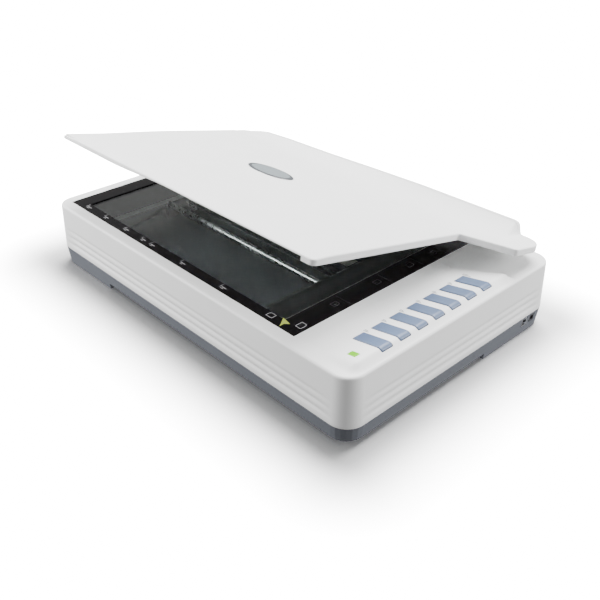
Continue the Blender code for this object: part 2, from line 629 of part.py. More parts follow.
def make_lid(axis):
    low = -AXIS_OVER
    shell = prism("lid_shell", lid_outline(0.0), "z", low, RIDGE_TOP + 6.0 - AXIS_OVER, WHITE, axis)
    section = lid_profile(0.0, low - 2.0, rear=LID_REAR - 1.0)
    keep_inside(shell, prism("lid_section", section, "x", -400, 400, parent=axis))
    keep_inside(shell, prism("ridge", ridge_outline(0.0, 0.0), "y", -400, 50, parent=axis))
    run, rise = LID_REAR_CHAMFER
    wedge = [
        (lid_y(LID_REAR + run), low - 1.0),
        (lid_y(LID_REAR + run), low),
        (lid_y(LID_REAR) + 1.0, low + rise),
        (lid_y(LID_REAR) + 1.0, low - 1.0),
    ]
    cut(shell, prism("rear_chamfer", wedge, "x", -400, 400, parent=axis))
    inner_front = LID_FRONT - FRONT_LIP_DEPTH - LID_SKIN
    cavity = prism("lid_cavity", lid_outline(LID_SKIN, inner_front), "z", low - 3.0, 60.0, parent=axis)
    ceiling = lid_profile(LID_SKIN, low - 5.0, LID_SKIN)
    keep_inside(cavity, prism("lid_ceiling", ceiling, "x", -400, 400, parent=axis))
    keep_inside(cavity, prism("ridge_ceiling", ridge_outline(LID_SKIN, LID_SKIN), "y", -400, 50, parent=axis))
    cut(shell, cavity)
    lip_x = (LID_LEFT + 8.0, LID_RIGHT - 19.0)
    lip_y = (lid_y(LID_FRONT) - 5.0, lid_y(LID_FRONT - FRONT_LIP_DEPTH))
    cut(shell, box("front_undercut", lip_x, lip_y, (low - 5.0, low + FRONT_LIP), parent=axis))
    for x in HINGE_X:
        bay_x = (x - EAR_REACH - SLIDE_GAP, x + EAR_REACH + SLIDE_GAP)
        cut(shell, box("hinge_bay", bay_x, (4.0, 30.0), (low - 5.0, low + BAY_HEIGHT), parent=axis))
    shade(shell, 30.0)

    plate_front = inner_front - GAP
    plate = lid_outline(LID_SKIN + GAP, plate_front, PANEL_REAR_U)
    prism("lid_inner_panel", plate, "z", low + 2.2, low + 4.0, WHITE, axis)
    pad_u = (AXIS_Y + AXIS_U - SCAN_Y[1] - 8.0, plate_front - 0.5)
    pad_x = (SCAN_X[0] - 12.0, SCAN_X[1] + 20.0)
    pad_z = (low - PAD_BELOW, low + PAD_THICK - PAD_BELOW)
    box("document_pad", pad_x, (lid_y(pad_u[1]), lid_y(pad_u[0])), pad_z, FOAM, axis)
    badge = [
        (BADGE_X + BADGE_SIZE[0] * math.cos(a), lid_y(BADGE_U) + BADGE_SIZE[1] * math.sin(a))
        for a in (math.radians(10.0 * i) for i in range(36))
    ]
    prism("lid_badge", badge, "z", LID_THICK - AXIS_OVER + GAP, LID_THICK - AXIS_OVER + 1.3, BADGE, axis)
    for number, x in enumerate((LID_LEFT + 12.0, LID_RIGHT - 9.0), 1):
        y = lid_y(LID_FRONT - FRONT_LIP_DEPTH - 9.0) if number == 1 else lid_y(LID_FRONT - 9.0)
        z = (low + 1.9, low - 0.9) if number == 1 else (low - GAP, low - 1.0)
        rod(f"lid_bumper_{number}", "z", (x, y), 4.0, z[1], z[0], RUBBER, axis, 16)


def make_hinges(lift, axis):
    for side, x in zip(("left", "right"), HINGE_X):
        half = POST_WIDTH / 2
        column = (x - half, x + half)
        post_y = (AXIS_Y - POST_THICK / 2, AXIS_Y + POST_THICK / 2)
        post = box(f"hinge_post_{side}", column, post_y, (AXIS_Z - POST_LENGTH, AXIS_Z), NYLON, lift)
        join(post, rod("head", "x", (AXIS_Y, AXIS_Z), HEAD_RADIUS, *column, parent=lift))
        cut(post, rod("bore", "x", (AXIS_Y, AXIS_Z), PIN_RADIUS + GAP, x - 30, x + 30, parent=lift, sides=20))
        shade(post)
        pin_x = (x - EAR_REACH - GAP, x + EAR_REACH + GAP)
        shade(rod(f"hinge_pin_{side}", "x", (AXIS_Y, AXIS_Z), PIN_RADIUS, *pin_x, STEEL, lift, 20))

        # two ears below a plate that is screwed under the lid's skin
        top = LID_THICK - LID_SKIN - AXIS_OVER - GAP
        arm_y = (-10.0, 0.0)
        plate_y = (PLATE_FRONT_Y, arm_y[0] + 2.0)
        bracket = box(
            f"hinge_bracket_{side}", (x - EAR_REACH, x + EAR_REACH), plate_y, (top - 2.2, top), DARK, axis
        )
        for sign in (-1, 1):
            ear = sorted((x + sign * EAR_REACH, x + sign * (EAR_REACH - EAR_THICK)))
            shape = circle(HEAD_RADIUS, sides=16, first=-90.0, last=90.0)
            shape += [(arm_y[0], top), (arm_y[0], top - 4.6)]
            join(bracket, prism("ear", shape, "x", ear[0], ear[1], parent=axis))
        cut(bracket, rod("ear_bore", "x", (0.0, 0.0), PIN_RADIUS + GAP, x - 30, x + 30, parent=axis, sides=20))
        shade(bracket)

        # a rectangular tube in the base that guides the post
        wide, deep = half + SLIDE_GAP, POST_THICK / 2 + SLIDE_GAP
        outer, skin = 2.4, DECK_HEIGHT - WALL - GAP
        socket = box(
            f"hinge_socket_{side}",
            (x - wide - outer, x + wide + outer),
            (AXIS_Y - deep - outer, AXIS_Y + deep + outer),
            (FLOOR_TOP + GAP, skin),
            DARK,
        )
        cut(socket, box("socket_bore", (x - wide, x + wide), (AXIS_Y - deep, AXIS_Y + deep), (-5.0, 130.0)))


# ---- carriage ----------------------------------------------------------------------------
def make_carriage(origin):
    half, (y0, y1), (z0, z1) = CARRIAGE_HALF, CARRIAGE_Y, CARRIAGE_Z
    frame = box("carriage_frame", (-half, half), (y0, y1), (z0, z1), DARK, origin)
    cut(frame, box("hollow", (-half + 2.5, half - 2.5), (y0 + 2.5, y1 - 2.5), (z0 + 2.5, z1 + 5), parent=origin))
    saddle = box("saddle", (-half + 10, half - 10), (-12.0, 12.0), (ROD_Z - 3.0, z0 + 1.0), parent=origin)
    join(frame, saddle)
    for y in RAIL_Y:
        glide_z = (z0 - GLIDE_HEIGHT, z0 + 1.0)
        join(frame, box("glide", (-20.0, 20.0), (y - 4.0, y + 4.0), glide_z, parent=origin))
    seat = BUSH_RADIUS + GAP
    arch = circle(seat, (0.0, ROD_Z), 16, 0.0, 180.0) + [(-seat, 0.0), (seat, 0.0)]
    cut(frame, prism("rod_tunnel", arch, "x", -half, half, parent=origin))
    shade(frame)
    for name, x in (("right", half - 17.0), ("left", -half + 17.0)):
        ends = (x - BUSH_LENGTH / 2, x + BUSH_LENGTH / 2)
        bush = rod(f"carriage_bush_{name}", "x", (0.0, ROD_Z), BUSH_RADIUS, *ends, BRASS, origin)
        bore = rod("bore", "x", (0.0, ROD_Z), ROD_RADIUS + GAP, x - 20, x + 20, parent=origin)
        shade(cut(bush, bore))
    tube_y = (y0 + 5.0, y1 - 5.0)
    shade(rod("lamp_tube", "y", (half - 9.0, z1 - 6.0), 3.0, *tube_y, LAMP, origin, 16))
    slant = math.radians(45.0)
    along = Vector((math.cos(slant), math.sin(slant)))
    across = Vector((-along.y, along.x)) * 1.5
    for name, x, z in (("upper_mirror", 8.0, z0 + 14.0), ("lower_mirror", -20.0, z0 + 22.0)):
        middle, reach = Vector((x, z)), along * 9.0
        corners = [middle - reach, middle + reach, middle + reach + across, middle - reach + across]
        prism(name, [tuple(c) for c in corners], "y", y0 + 12.0, y1 - 12.0, MIRROR, origin)
    lens = box("lens_block", (-16.0, 0.0), (-14.0, 14.0), (z0 + 2.5 + GAP, z0 + 9.0), DARK, origin)
    shade(join(lens, rod("barrel", "x", (0.0, z0 + 8.0), 5.0, -14.0, -4.0, parent=origin)))
    box("sensor_board", (half - 5.0, half - 3.4), (-40.0, 40.0), (z0 + 3.0, z1 - 14.0), BOARD, origin)
    strand = BELT_Y - PULLEY_RADIUS - GAP - BELT_THICK / 2
    grip = BELT_THICK / 2 + GAP
    clamp = box("belt_clamp", (-9.0, 9.0), (strand - 4, strand + 4), (BELT_Z[0] - 1, z0 - GAP), NYLON, origin)
    cut(clamp, box("belt_slot", (-20, 20), (strand - grip, strand + grip), (0.0, BELT_Z[1] + GAP), parent=origin))


def make_guide_rod():
    shade(rod("guide_rod", "x", (0.0, ROD_Z), ROD_RADIUS, *ROD_X, STEEL))


def gear_outline(teeth, turn):
    """An involute spur gear's outline, thinned for backlash and turned by an angle in degrees."""
    pitch = GEAR_MODULE * teeth / 2
    base = pitch * math.cos(math.radians(20.0))
    root, tip = pitch - 1.25 * GEAR_MODULE, pitch + 0.9 * GEAR_MODULE

    def spread(radius):
        """Half the angle that a tooth takes up at this radius."""
        def roll(r):
            swing = math.sqrt(max(r * r / (base * base) - 1.0, 0.0))
            return swing - math.atan(swing)

        half_pitch = (math.pi * GEAR_MODULE / 2 - GEAR_BACKLASH) / (2 * pitch)
        return half_pitch + roll(pitch) - roll(max(radius, base))

    ring = []
    for tooth in range(teeth):
        middle = 2 * math.pi * tooth / teeth + math.radians(turn)
        flank = (root, max(base, root), pitch, tip)
        sides = [(-1, r) for r in flank] + [(1, r) for r in reversed(flank)]
        for sign, radius in sides:
            a = middle + sign * spread(radius)
            ring.append((radius * math.cos(a), radius * math.sin(a)))
    return ring


def make_drive():
    reach = GEAR_MODULE * (GEAR_TEETH + PINION_TEETH) / 2 + 0.15
    aim = math.radians(MOTOR_DIRECTION)
    motor_x, motor_y = DRIVE_X + reach * math.cos(aim), BELT_Y + reach * math.sin(aim)
    gear_origin = empty("reduction_gear_axis", (DRIVE_X, BELT_Y, 0.0))
    gear = prism(
        "reduction_gear", gear_outline(GEAR_TEETH, MOTOR_DIRECTION), "z", *GEAR_Z, NYLON, gear_origin
    )
    join(gear, rod("pulley", "z", (0.0, 0.0), PULLEY_RADIUS, GEAR_Z[1] - 1.0, BELT_Z[1] + 0.7, parent=gear_origin))
    cut(gear, rod("bore", "z", (0.0, 0.0), AXLE_RADIUS + GAP, 0.0, 60.0, parent=gear_origin))
    shade(gear)
    bracket_z = (BELT_Z[1] + 1.0, BELT_Z[1] + 2.6)
    shade(rod("gear_axle", "z", (DRIVE_X, BELT_Y), AXLE_RADIUS, FLOOR_TOP + GAP, bracket_z[0] - GAP))

    pinion_origin = empty("motor_pinion_axis", (motor_x, motor_y, 0.0))
    facing = MOTOR_DIRECTION + 180.0 + 180.0 / PINION_TEETH
    pinion = prism("motor_pinion", gear_outline(PINION_TEETH, facing), "z", *GEAR_Z, BRASS, pinion_origin)
    join(pinion, rod("shaft", "z", (0.0, 0.0), 1.5, GEAR_Z[1] - 1.0, bracket_z[1] + 1.5, parent=pinion_origin))
    shade(pinion)

    plate = box("motor_bracket", (200.0, 268.0), (-12.0, 68.0), bracket_z, STEEL)
    for x in (200.0, 264.0):
        for y in (-12.0, 64.0):
            join(plate, box("leg", (x, x + 4.0), (y, y + 4.0), (FLOOR_TOP + GAP, bracket_z[0] + 0.5)))
    cut(plate, rod("shaft_hole", "z", (motor_x, motor_y), 4.0, 0.0, 60.0))
    motor_z = bracket_z[1] + GAP
    motor = rod("drive_motor", "z", (motor_x, motor_y), 17.5, motor_z, motor_z + 24.0, DARK)
    shade(cut(motor, rod("bearing", "z", (motor_x, motor_y), 3.0, motor_z - 1.0, motor_z + 4.0, sides=16)))

    idler_origin = empty("idler_axis", (IDLER_X, BELT_Y, 0.0))
    idler = rod("idler_pulley", "z", (0.0, 0.0), PULLEY_RADIUS, BELT_Z[0] - 0.7, BELT_Z[1] + 0.7, NYLON, idler_origin)
    shade(cut(idler, rod("bore", "z", (0.0, 0.0), AXLE_RADIUS + GAP, 0.0, 60.0, parent=idler_origin)))
    stand = box("idler_bracket", (IDLER_X - 6.0, IDLER_X + 6.0), (BELT_Y - 8.0, BELT_Y + 8.0), (20.0, 25.0), STEEL)
    join(stand, box("stem", (IDLER_X - 4.0, IDLER_X + 4.0), (BELT_Y - 4.0, BELT_Y + 4.0), (FLOOR_TOP + GAP, 21.0)))
    shade(join(stand, rod("axle", "z", (IDLER_X, BELT_Y), AXLE_RADIUS, 24.0, BELT_Z[1] + 2.0)))

    inner, outer = PULLEY_RADIUS + GAP, PULLEY_RADIUS + GAP + BELT_THICK
    loops = []
    for radius in (outer, inner):
        loop = circle(radius, (DRIVE_X, BELT_Y), 14, -90.0, 90.0)
        loop += circle(radius, (IDLER_X, BELT_Y), 14, 90.0, 270.0)
        loops.append(loop)
    belt = prism("timing_belt", loops[0], "z", *BELT_Z, RUBBER)
    shade(cut(belt, prism("inside", loops[1], "z", BELT_Z[0] - 1.0, BELT_Z[1] + 1.0)))


def make_tension_spring():
    """A coil that pulls the idler's bracket towards the end wall."""
    turns, steps, radius = 5, 10, 2.4
    start, length = IDLER_X - 6.0 - GAP, 12.0
    curve = bpy.data.curves.new("tension_spring", "CURVE")
    curve.dimensions = "3D"
    curve.bevel_depth = 0.45 * MM
    curve.bevel_resolution = 0
    curve.use_fill_caps = True
    line = curve.splines.new("POLY")
    count = turns * steps + 1
    line.points.add(count - 1)
    for i in range(count):
        a = 2 * math.pi * i / steps
        x = start - 0.5 - length * i / (count - 1)
        place = (x, BELT_Y + radius * math.cos(a), 22.5 + radius * math.sin(a))
        line.points[i].co = (*(value * MM for value in place), 1.0)
    curve.materials.append(STEEL)
    made = bpy.data.objects.new("tension_spring", curve)
    bpy.context.scene.collection.objects.link(made)


# ---- electronics -------------------------------------------------------------------------
def make_electronics():
    board = box("main_board", (215.0, 286.0), (84.0, 162.0), (FLOOR_TOP + 2.0, FLOOR_TOP + 3.6), BOARD)
    for x, y, wide, deep, high in (
        (232.0, 108.0, 16.0, 16.0, 2.0),
        (258.0, 126.0, 12.0, 12.0, 2.0),
        (226.0, 138.0, 8.0, 20.0, 6.0),
        (262.0, 98.0, 20.0, 8.0, 5.0),
    ):
        chip_z = (FLOOR_TOP + 3.0, FLOOR_TOP + 3.6 + high)
        join(board, box("chip", (x, x + wide), (y, y + deep), chip_z))
    face = HALF_X - 0.9
    y0, y1 = USB_Y - USB_SIZE[0] / 2, USB_Y + USB_SIZE[0] / 2
    z0, z1 = USB_Z - USB_SIZE[1] / 2, USB_Z + USB_SIZE[1] / 2
    usb = box("usb_socket", (face - 16.0, face), (y0, y1), (z0, z1), STEEL)
    cut(usb, box("mouth", (face - 13.0, face + 5.0), (y0 + 1.6, y1 - 1.6), (z0 + 1.4, z1 - 1.4)))
    join(usb, box("tongue", (face - 14.0, face - 5.0), (USB_Y - 2.8, USB_Y + 2.8), (USB_Z - 1.5, USB_Z + 1.5)))
    half = JACK_SIZE / 2
    jack = box("power_jack", (face - 14.0, face), (JACK_Y - half, JACK_Y + half), (JACK_Z - half, JACK_Z + half), DARK)
    cut(jack, rod("barrel", "x", (JACK_Y, JACK_Z), 3.5, face - 11.0, face + 5.0, sides=20))
    shade(join(jack, rod("contact", "x", (JACK_Y, JACK_Z), 1.0, face - 12.0, face - 6.0, sides=12)))
    # ribbon that lies on the floor from the board towards the carriage
    flat = FLOOR_TOP + GAP
    box("flat_cable", (-60.0, 205.0), (88.0, 112.0), (flat, flat + 0.8), NYLON)


def make_transport_lock():
    origin = empty("transport_lock_origin", (LOCK_X, LOCK_Y, SKIRT_HEIGHT))
    stem_top = 10.0
    lock = box("transport_lock", (-4.0, 4.0), (-3.2, 3.2), (-GAP - 1.0, stem_top), KEY_BLUE, origin)
    join(lock, box("grip", (-9.0, 9.0), (-6.0, 6.0), (-GAP - 2.2, -GAP), parent=origin))
    over = FLOOR_THICK + GAP
    join(lock, box("keeper", (-7.0, 7.0), (-7.0, 7.0), (over, over + 1.8), parent=origin))


def build():
    make_upper_case()
    make_lower_case()
    make_feet_and_screws()
    make_bed()
    make_keys()
    lift = empty("hinge_lift_origin", (0.0, 0.0, LIFT_REST))
    axis = empty("lid_hinge_axis", (0.0, AXIS_Y, AXIS_Z), lift, -LID_ANGLE)
    make_lid(axis)
    make_hinges(lift, axis)
    make_carriage(empty("carriage_origin", (CARRIAGE_X, 0.0, 0.0)))
    make_guide_rod()
    make_drive()
    make_tension_spring()
    make_electronics()
    make_transport_lock()
    bpy.context.view_layer.update()


build()
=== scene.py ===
"""Looks for the A3 flatbed scanner: refined shells, keys, pad, print and materials.

Lengths are millimetres unless a name says otherwise; meshes are written in metres. The lid is
drawn in its own space: x along the case, u from the lid's rear towards its front edge, v up
from its lower edge.
"""

import json
import math

import bmesh
import bpy
import numpy as np
from mathutils import Matrix, Vector, geometry


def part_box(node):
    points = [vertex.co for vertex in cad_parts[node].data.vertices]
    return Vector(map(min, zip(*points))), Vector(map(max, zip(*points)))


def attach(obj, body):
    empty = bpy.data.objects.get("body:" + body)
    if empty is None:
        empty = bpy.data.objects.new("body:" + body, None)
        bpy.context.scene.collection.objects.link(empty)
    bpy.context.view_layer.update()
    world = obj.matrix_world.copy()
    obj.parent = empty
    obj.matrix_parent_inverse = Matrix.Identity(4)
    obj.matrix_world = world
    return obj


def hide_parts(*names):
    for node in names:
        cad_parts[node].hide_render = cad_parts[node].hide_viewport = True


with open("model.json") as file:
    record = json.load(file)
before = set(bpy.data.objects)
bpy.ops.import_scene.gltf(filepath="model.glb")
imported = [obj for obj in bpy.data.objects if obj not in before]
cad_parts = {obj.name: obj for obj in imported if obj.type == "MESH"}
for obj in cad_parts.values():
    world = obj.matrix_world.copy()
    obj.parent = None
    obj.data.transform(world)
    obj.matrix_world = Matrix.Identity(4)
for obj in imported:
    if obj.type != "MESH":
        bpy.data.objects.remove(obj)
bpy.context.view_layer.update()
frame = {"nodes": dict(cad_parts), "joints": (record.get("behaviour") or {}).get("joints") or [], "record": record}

MM = 0.001
MERGE_REACH = 0.02

# ---- the case, in the CAD model's own axes ---------------------------------------------------
SPLIT_HEIGHT = 28.6
SEAM = 0.3
CORNER_RADIUS = 26.5
COVER_DRAFT = 0.033
WALL = 2.6
TOP_ROUNDING = 3.5
INNER_LIP, CEILING_DROP = 8.0, 5.0                  # the lining's lower and upper ends; the lining is black painted shade
FRAME_X, FRAME_Y = (-290.4, 205.2), (-179.6, 160.4)
SURROUND_RIGHT, SURROUND_FRONT = 32.6, 16.0         # width of the black surround's strips
GROOVES = ((39.6, 1.6), (50.1, 1.4), (60.8, 0.9))   # height, depth
GROOVE_HALF = 4.6
GROOVE_BAND, GROOVE_STEP = (33.0, 67.0), 0.7        # where the shell's rings follow the grooves
GROOVE_GONE, GROOVE_WHOLE = 4.0, -30.0              # distance past a side's straight stretch
POCKET_HALF = (17.2, 5.7)                           # opening round each hinge post
HINGE_X = (-235.0, 235.0)

# the key panel: height over the deck along x, its fold and its front edge
PANEL_KNOTS = ((206.2, 0.0), (224.0, -2.2), (255.0, 0.2), (294.5, 7.6), (304.0, 0.3), (306.0, 0.0))
CREASE_X, CREST_X = 224.0, 294.5
PANEL_FRONT_Y = (-176.5, -170.0)                    # at the crease and at the crest
KEY_GAP, KEY_PROUD, KEY_DEPTH, KEY_ROUNDING = 0.65, 0.9, 3.4, 0.8
PRINT_LIFT = 0.06

# ---- the lid, in its own space ---------------------------------------------------------------
AXIS_U, AXIS_OVER = -11.0, 2.0
LID_LEFT, LID_RIGHT, WING_END = -296.0, 229.5, 300.0
LID_REAR, LID_FRONT = -24.0, 345.1
NOTCH_U, WING_U = 75.6, 46.7
LID_CORNERS = (                                     # x, u, radius
    (LID_LEFT, LID_REAR, 30.0),
    (LID_LEFT, LID_FRONT, 3.0),
    (LID_RIGHT, LID_FRONT, 7.0),
    (LID_RIGHT, NOTCH_U, 3.5),
    (WING_END, WING_U, 6.0),
    (WING_END, LID_REAR, 30.0),
)
LID_THICK, LID_SKIN, LID_ROUNDING = 9.4, 2.5, 2.2
RIDGE = (                                           # x, height over the plate
    (-286.0, 0.0),
    (-269.0, 3.6),
    (-252.0, 6.2),
    (-195.0, 8.4),
    (-98.0, 10.2),
    (-9.0, 13.2),
    (88.0, 15.7),
    (250.0, 16.1),
    (256.0, 14.4),
    (259.0, 8.5),
    (261.0, 0.0),
)
RIDGE_CREST_U, RIDGE_FOOT_U = -15.6, 22.0
SWEEP_SHARE, CREST_STEP = 0.93, 1.5                 # the sweep's share of RIDGE, the step on top
# points added along the rear edge, where the ridge comes down
RIDGE_END_X = (247.0, 249.5, 251.5, 253.5, 255.5, 257.0, 258.5, 259.7, 260.6, 262.0, 264.0)
FRONT_ROLL, LIP_BOTTOM, LIP_DEPTH = 34.0, 5.0, 12.0
LIP_START_X, LIP_END_X = LID_LEFT + 8.0, 210.5
REAR_RISE, BAY_RISE, BAY_HALF = 2.4, 8.6, 17.2
EDGE_STEP = 0.15                                    # half the width of a step in the lower edge
BADGE_X, BADGE_U, BADGE_SIZE = -60.5, 145.5, (44.0, 20.6)

# ---- light and camera, in metres, watts and degrees ------------------------------------------
WORLD_LIGHT, FLOOR_GLOW = 0.46, 24.0
GLOW_START, GLOW_END = 0.01, 0.20                   # distance from the case
FLOOR_HALF = 30.0
CAMERA_PLACE, CAMERA_DOWN, CAMERA_TURN = (0.7537, -0.6869, 0.6140), 32.0, 46.69
CAMERA_LENS, SENSOR = 47.74, 36.0                   # millimetres


def span(node):
    """A node's lowest and highest corners, in millimetres."""
    low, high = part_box(node)
    return [c / MM for c in low], [c / MM for c in high]


def plan_span(node):
    """A node's reach along x and its reach along y."""
    low, high = span(node)
    return (low[0], high[0]), (low[1], high[1])


HALF_X, HALF_Y = span("lower_case")[1][:2]
DECK = span("document_frame")[1][2]
KEYS = [f"key_{i}" for i in range(1, 8)]
hinge = next(j for j in frame["joints"] if j["name"] == "lid_hinge")
AXIS = Vector(hinge["pos_m"]) / MM
LID_ANGLE = -math.radians(hinge["range_deg"][0])
LID_SPACE = Matrix.Translation(AXIS) @ Matrix.Rotation(-LID_ANGLE, 4, "X")


# ---- curves and outlines ---------------------------------------------------------------------
def smoothstep(start, end, value):
    share = min(max((value - start) / (end - start), 0.0), 1.0)
    return share * share * (3.0 - 2.0 * share)


def along(knots, x):
    """Straight lines between knots, level beyond both ends."""
    if x <= knots[0][0]:
        return knots[0][1]
    for (x0, z0), (x1, z1) in zip(knots, knots[1:]):
        if x <= x1:
            return z0 + (z1 - z0) * (x - x0) / (x1 - x0)
    return knots[-1][1]


def softened(knots, x, reach):
    """The same lines with their corners rounded over a distance of reach."""
    samples = [along(knots, x + reach * t) for t in (-1.0, -0.6, -0.2, 0.2, 0.6, 1.0)]
    return sum(samples) / len(samples)


def quarter(radius, steps):
    """(inset, drop) pairs up a rounded edge, from its outer face to the level top."""
    turns = [math.radians(90.0 * k / steps) for k in range(steps + 1)]
    return [(radius * (1.0 - math.cos(t)), radius * (1.0 - math.sin(t))) for t in turns]


def widened(reach, gap):
    return (reach[0] - gap, reach[1] + gap)


class Outline:
    """A closed plan outline: points, outward normals, and distance-based offsets."""

    def __init__(self, corners, spacing=12.0, steps=10):
        """corners are (x, y, radius), anticlockwise; a clockwise turn makes a concave corner."""
        self.points, self.normals = [], []
        arcs = []
        for i, (x, y, radius) in enumerate(corners):
            here = Vector((x, y))
            before = (Vector(corners[i - 1][:2]) - here).normalized()
            after = (Vector(corners[(i + 1) % len(corners)][:2]) - here).normalized()
            half = before.angle(after) / 2
            middle = here + (before + after).normalized() * (radius / math.sin(half))
            back_off = radius / math.tan(half)
            first, last = here + before * back_off, here + after * back_off
            convex = before.x * after.y - before.y * after.x < 0
            a0 = math.atan2(first.y - middle.y, first.x - middle.x)
            a1 = math.atan2(last.y - middle.y, last.x - middle.x)
            sweep = (a1 - a0 + math.pi) % (2 * math.pi) - math.pi
            arc = []
            for k in range(steps + 1):
                a = a0 + sweep * k / steps
                out = Vector((math.cos(a), math.sin(a)))
                arc.append((middle + out * radius, out if convex else -out))
            arcs.append(arc)
        for i, arc in enumerate(arcs):
            for point, out in arc:
                self.points.append(point)
                self.normals.append(out)
            start, end = arc[-1][0], arcs[(i + 1) % len(arcs)][0][0]
            count = max(int((end - start).length / spacing), 1)
            for k in range(1, count):
                self.points.append(start.lerp(end, k / count))
                self.normals.append(arc[-1][1])

    def insert(self, places):
        """Adds (x, y) places that lie on straight runs, apart from those already there."""
        for place in places:
            place = Vector(place)
            if any((point - place).length < 0.01 for point in self.points):
                continue
            best = None
            for i, point in enumerate(self.points):
                other = self.points[(i + 1) % len(self.points)]
                run = other - point
                share = (place - point).dot(run) / max(run.length_squared, 1e-9)
                if 0.0 < share < 1.0:
                    gap = (point + run * share - place).length
                    if best is None or gap < best[0]:
                        best = (gap, i)
            index = best[1]
            self.points.insert(index + 1, place)
            self.normals.insert(index + 1, self.normals[index].copy())
        return self

    def offset(self, inset):
        return [p - n * inset for p, n in zip(self.points, self.normals)]


def rectangle(x, y, radius, spacing=12.0, steps=4):
    corners = [(x[0], y[0], radius), (x[1], y[0], radius), (x[1], y[1], radius), (x[0], y[1], radius)]
    return Outline(corners, spacing, steps)


def distances(points, loops):
    """Each point's distance to the nearest edge of any loop."""
    starts = np.array([p for loop in loops for p in loop], float)
    ends = np.array([p for loop in loops for p in loop[1:] + loop[:1]], float)
    run = ends - starts
    length = np.maximum((run**2).sum(1), 1e-9)
    nearest = []
    for point in points:
        share = np.clip(((point - starts) * run).sum(1) / length, 0.0, 1.0)
        nearest.append(np.sqrt(((starts + run * share[:, None] - point) ** 2).sum(1)).min())
    return nearest


class Mesh:
    """Gathers points and faces, then becomes one object."""

    def __init__(self):
        self.points, self.faces, self.slots = [], [], []
        self.slot = 0

    def add(self, points, faces):
        start = len(self.points)
        self.points += [Vector(p) for p in points]
        self.faces += [tuple(start + i for i in face) for face in faces]
        self.slots += [self.slot] * len(faces)

    def rings(self, rings, closed=False, flip=False):
        """Quads between rings of equal count; closed joins the last ring to the first."""
        count = len(rings[0])
        faces = []
        for level in range(len(rings) - (0 if closed else 1)):
            low, high = level * count, ((level + 1) % len(rings)) * count
            for i in range(count):
                j = (i + 1) % count
                quad = (low + i, low + j, high + j, high + i)
                faces.append(quad[::-1] if flip else quad)
        self.add([p for ring in rings for p in ring], faces)

    def fill(self, outer, holes, inner, height, margin=1.2, flip=False):
        """Covers an outline with holes in it; height(x, y) lifts every point.

        Inner points closer than margin to the outline or to a hole are left out.
        """
        loops = [list(outer), *[list(h) for h in holes]]
        near = distances(inner, loops) if inner else []
        coords, faces = [], []
        for loop in loops:
            faces.append(list(range(len(coords), len(coords) + len(loop))))
            coords += [Vector(p) for p in loop]
        coords += [Vector(p) for p, d in zip(inner, near) if d > margin]
        points, _, tris, _, _, owners = geometry.delaunay_2d_cdt(coords, [], faces, 1, 1e-4)
        kept = [tuple(t) for t, own in zip(tris, owners) if list(own) == [0]]
        if flip:
            kept = [t[::-1] for t in kept]
        self.add([(p.x, p.y, height(p.x, p.y)) for p in points], kept)

    def box(self, x, y, z):
        corners = [(a, b, c) for c in z for b in y for a in x]
        faces = [(0, 2, 3, 1), (4, 5, 7, 6), (0, 1, 5, 4), (2, 6, 7, 3), (0, 4, 6, 2), (1, 3, 7, 5)]
        self.add(corners, faces)

    def object(self, name, finishes, body, replaces=(), space=None, angle=32.0):
        """One object in metres; points that meet are merged, edges over angle stay sharp."""
        mesh = bpy.data.meshes.new(name)
        place = space or Matrix.Identity(4)
        mesh.from_pydata([(place @ p) * MM for p in self.points], [], self.faces)
        mesh.polygons.foreach_set("material_index", self.slots)
        work = bmesh.new()
        work.from_mesh(mesh)
        bmesh.ops.remove_doubles(work, verts=work.verts, dist=MERGE_REACH * MM)
        loose = [v for v in work.verts if not v.link_faces]
        bmesh.ops.delete(work, geom=loose, context="VERTS")
        work.to_mesh(mesh)
        work.free()
        for finish in finishes:
            mesh.materials.append(finish)
        made = bpy.data.objects.new(name, mesh)
        bpy.context.scene.collection.objects.link(made)
        mesh.shade_smooth()
        mesh.set_sharp_from_angle(angle=math.radians(angle))
        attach(made, body)
        if replaces:
            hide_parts(*replaces)
        return made


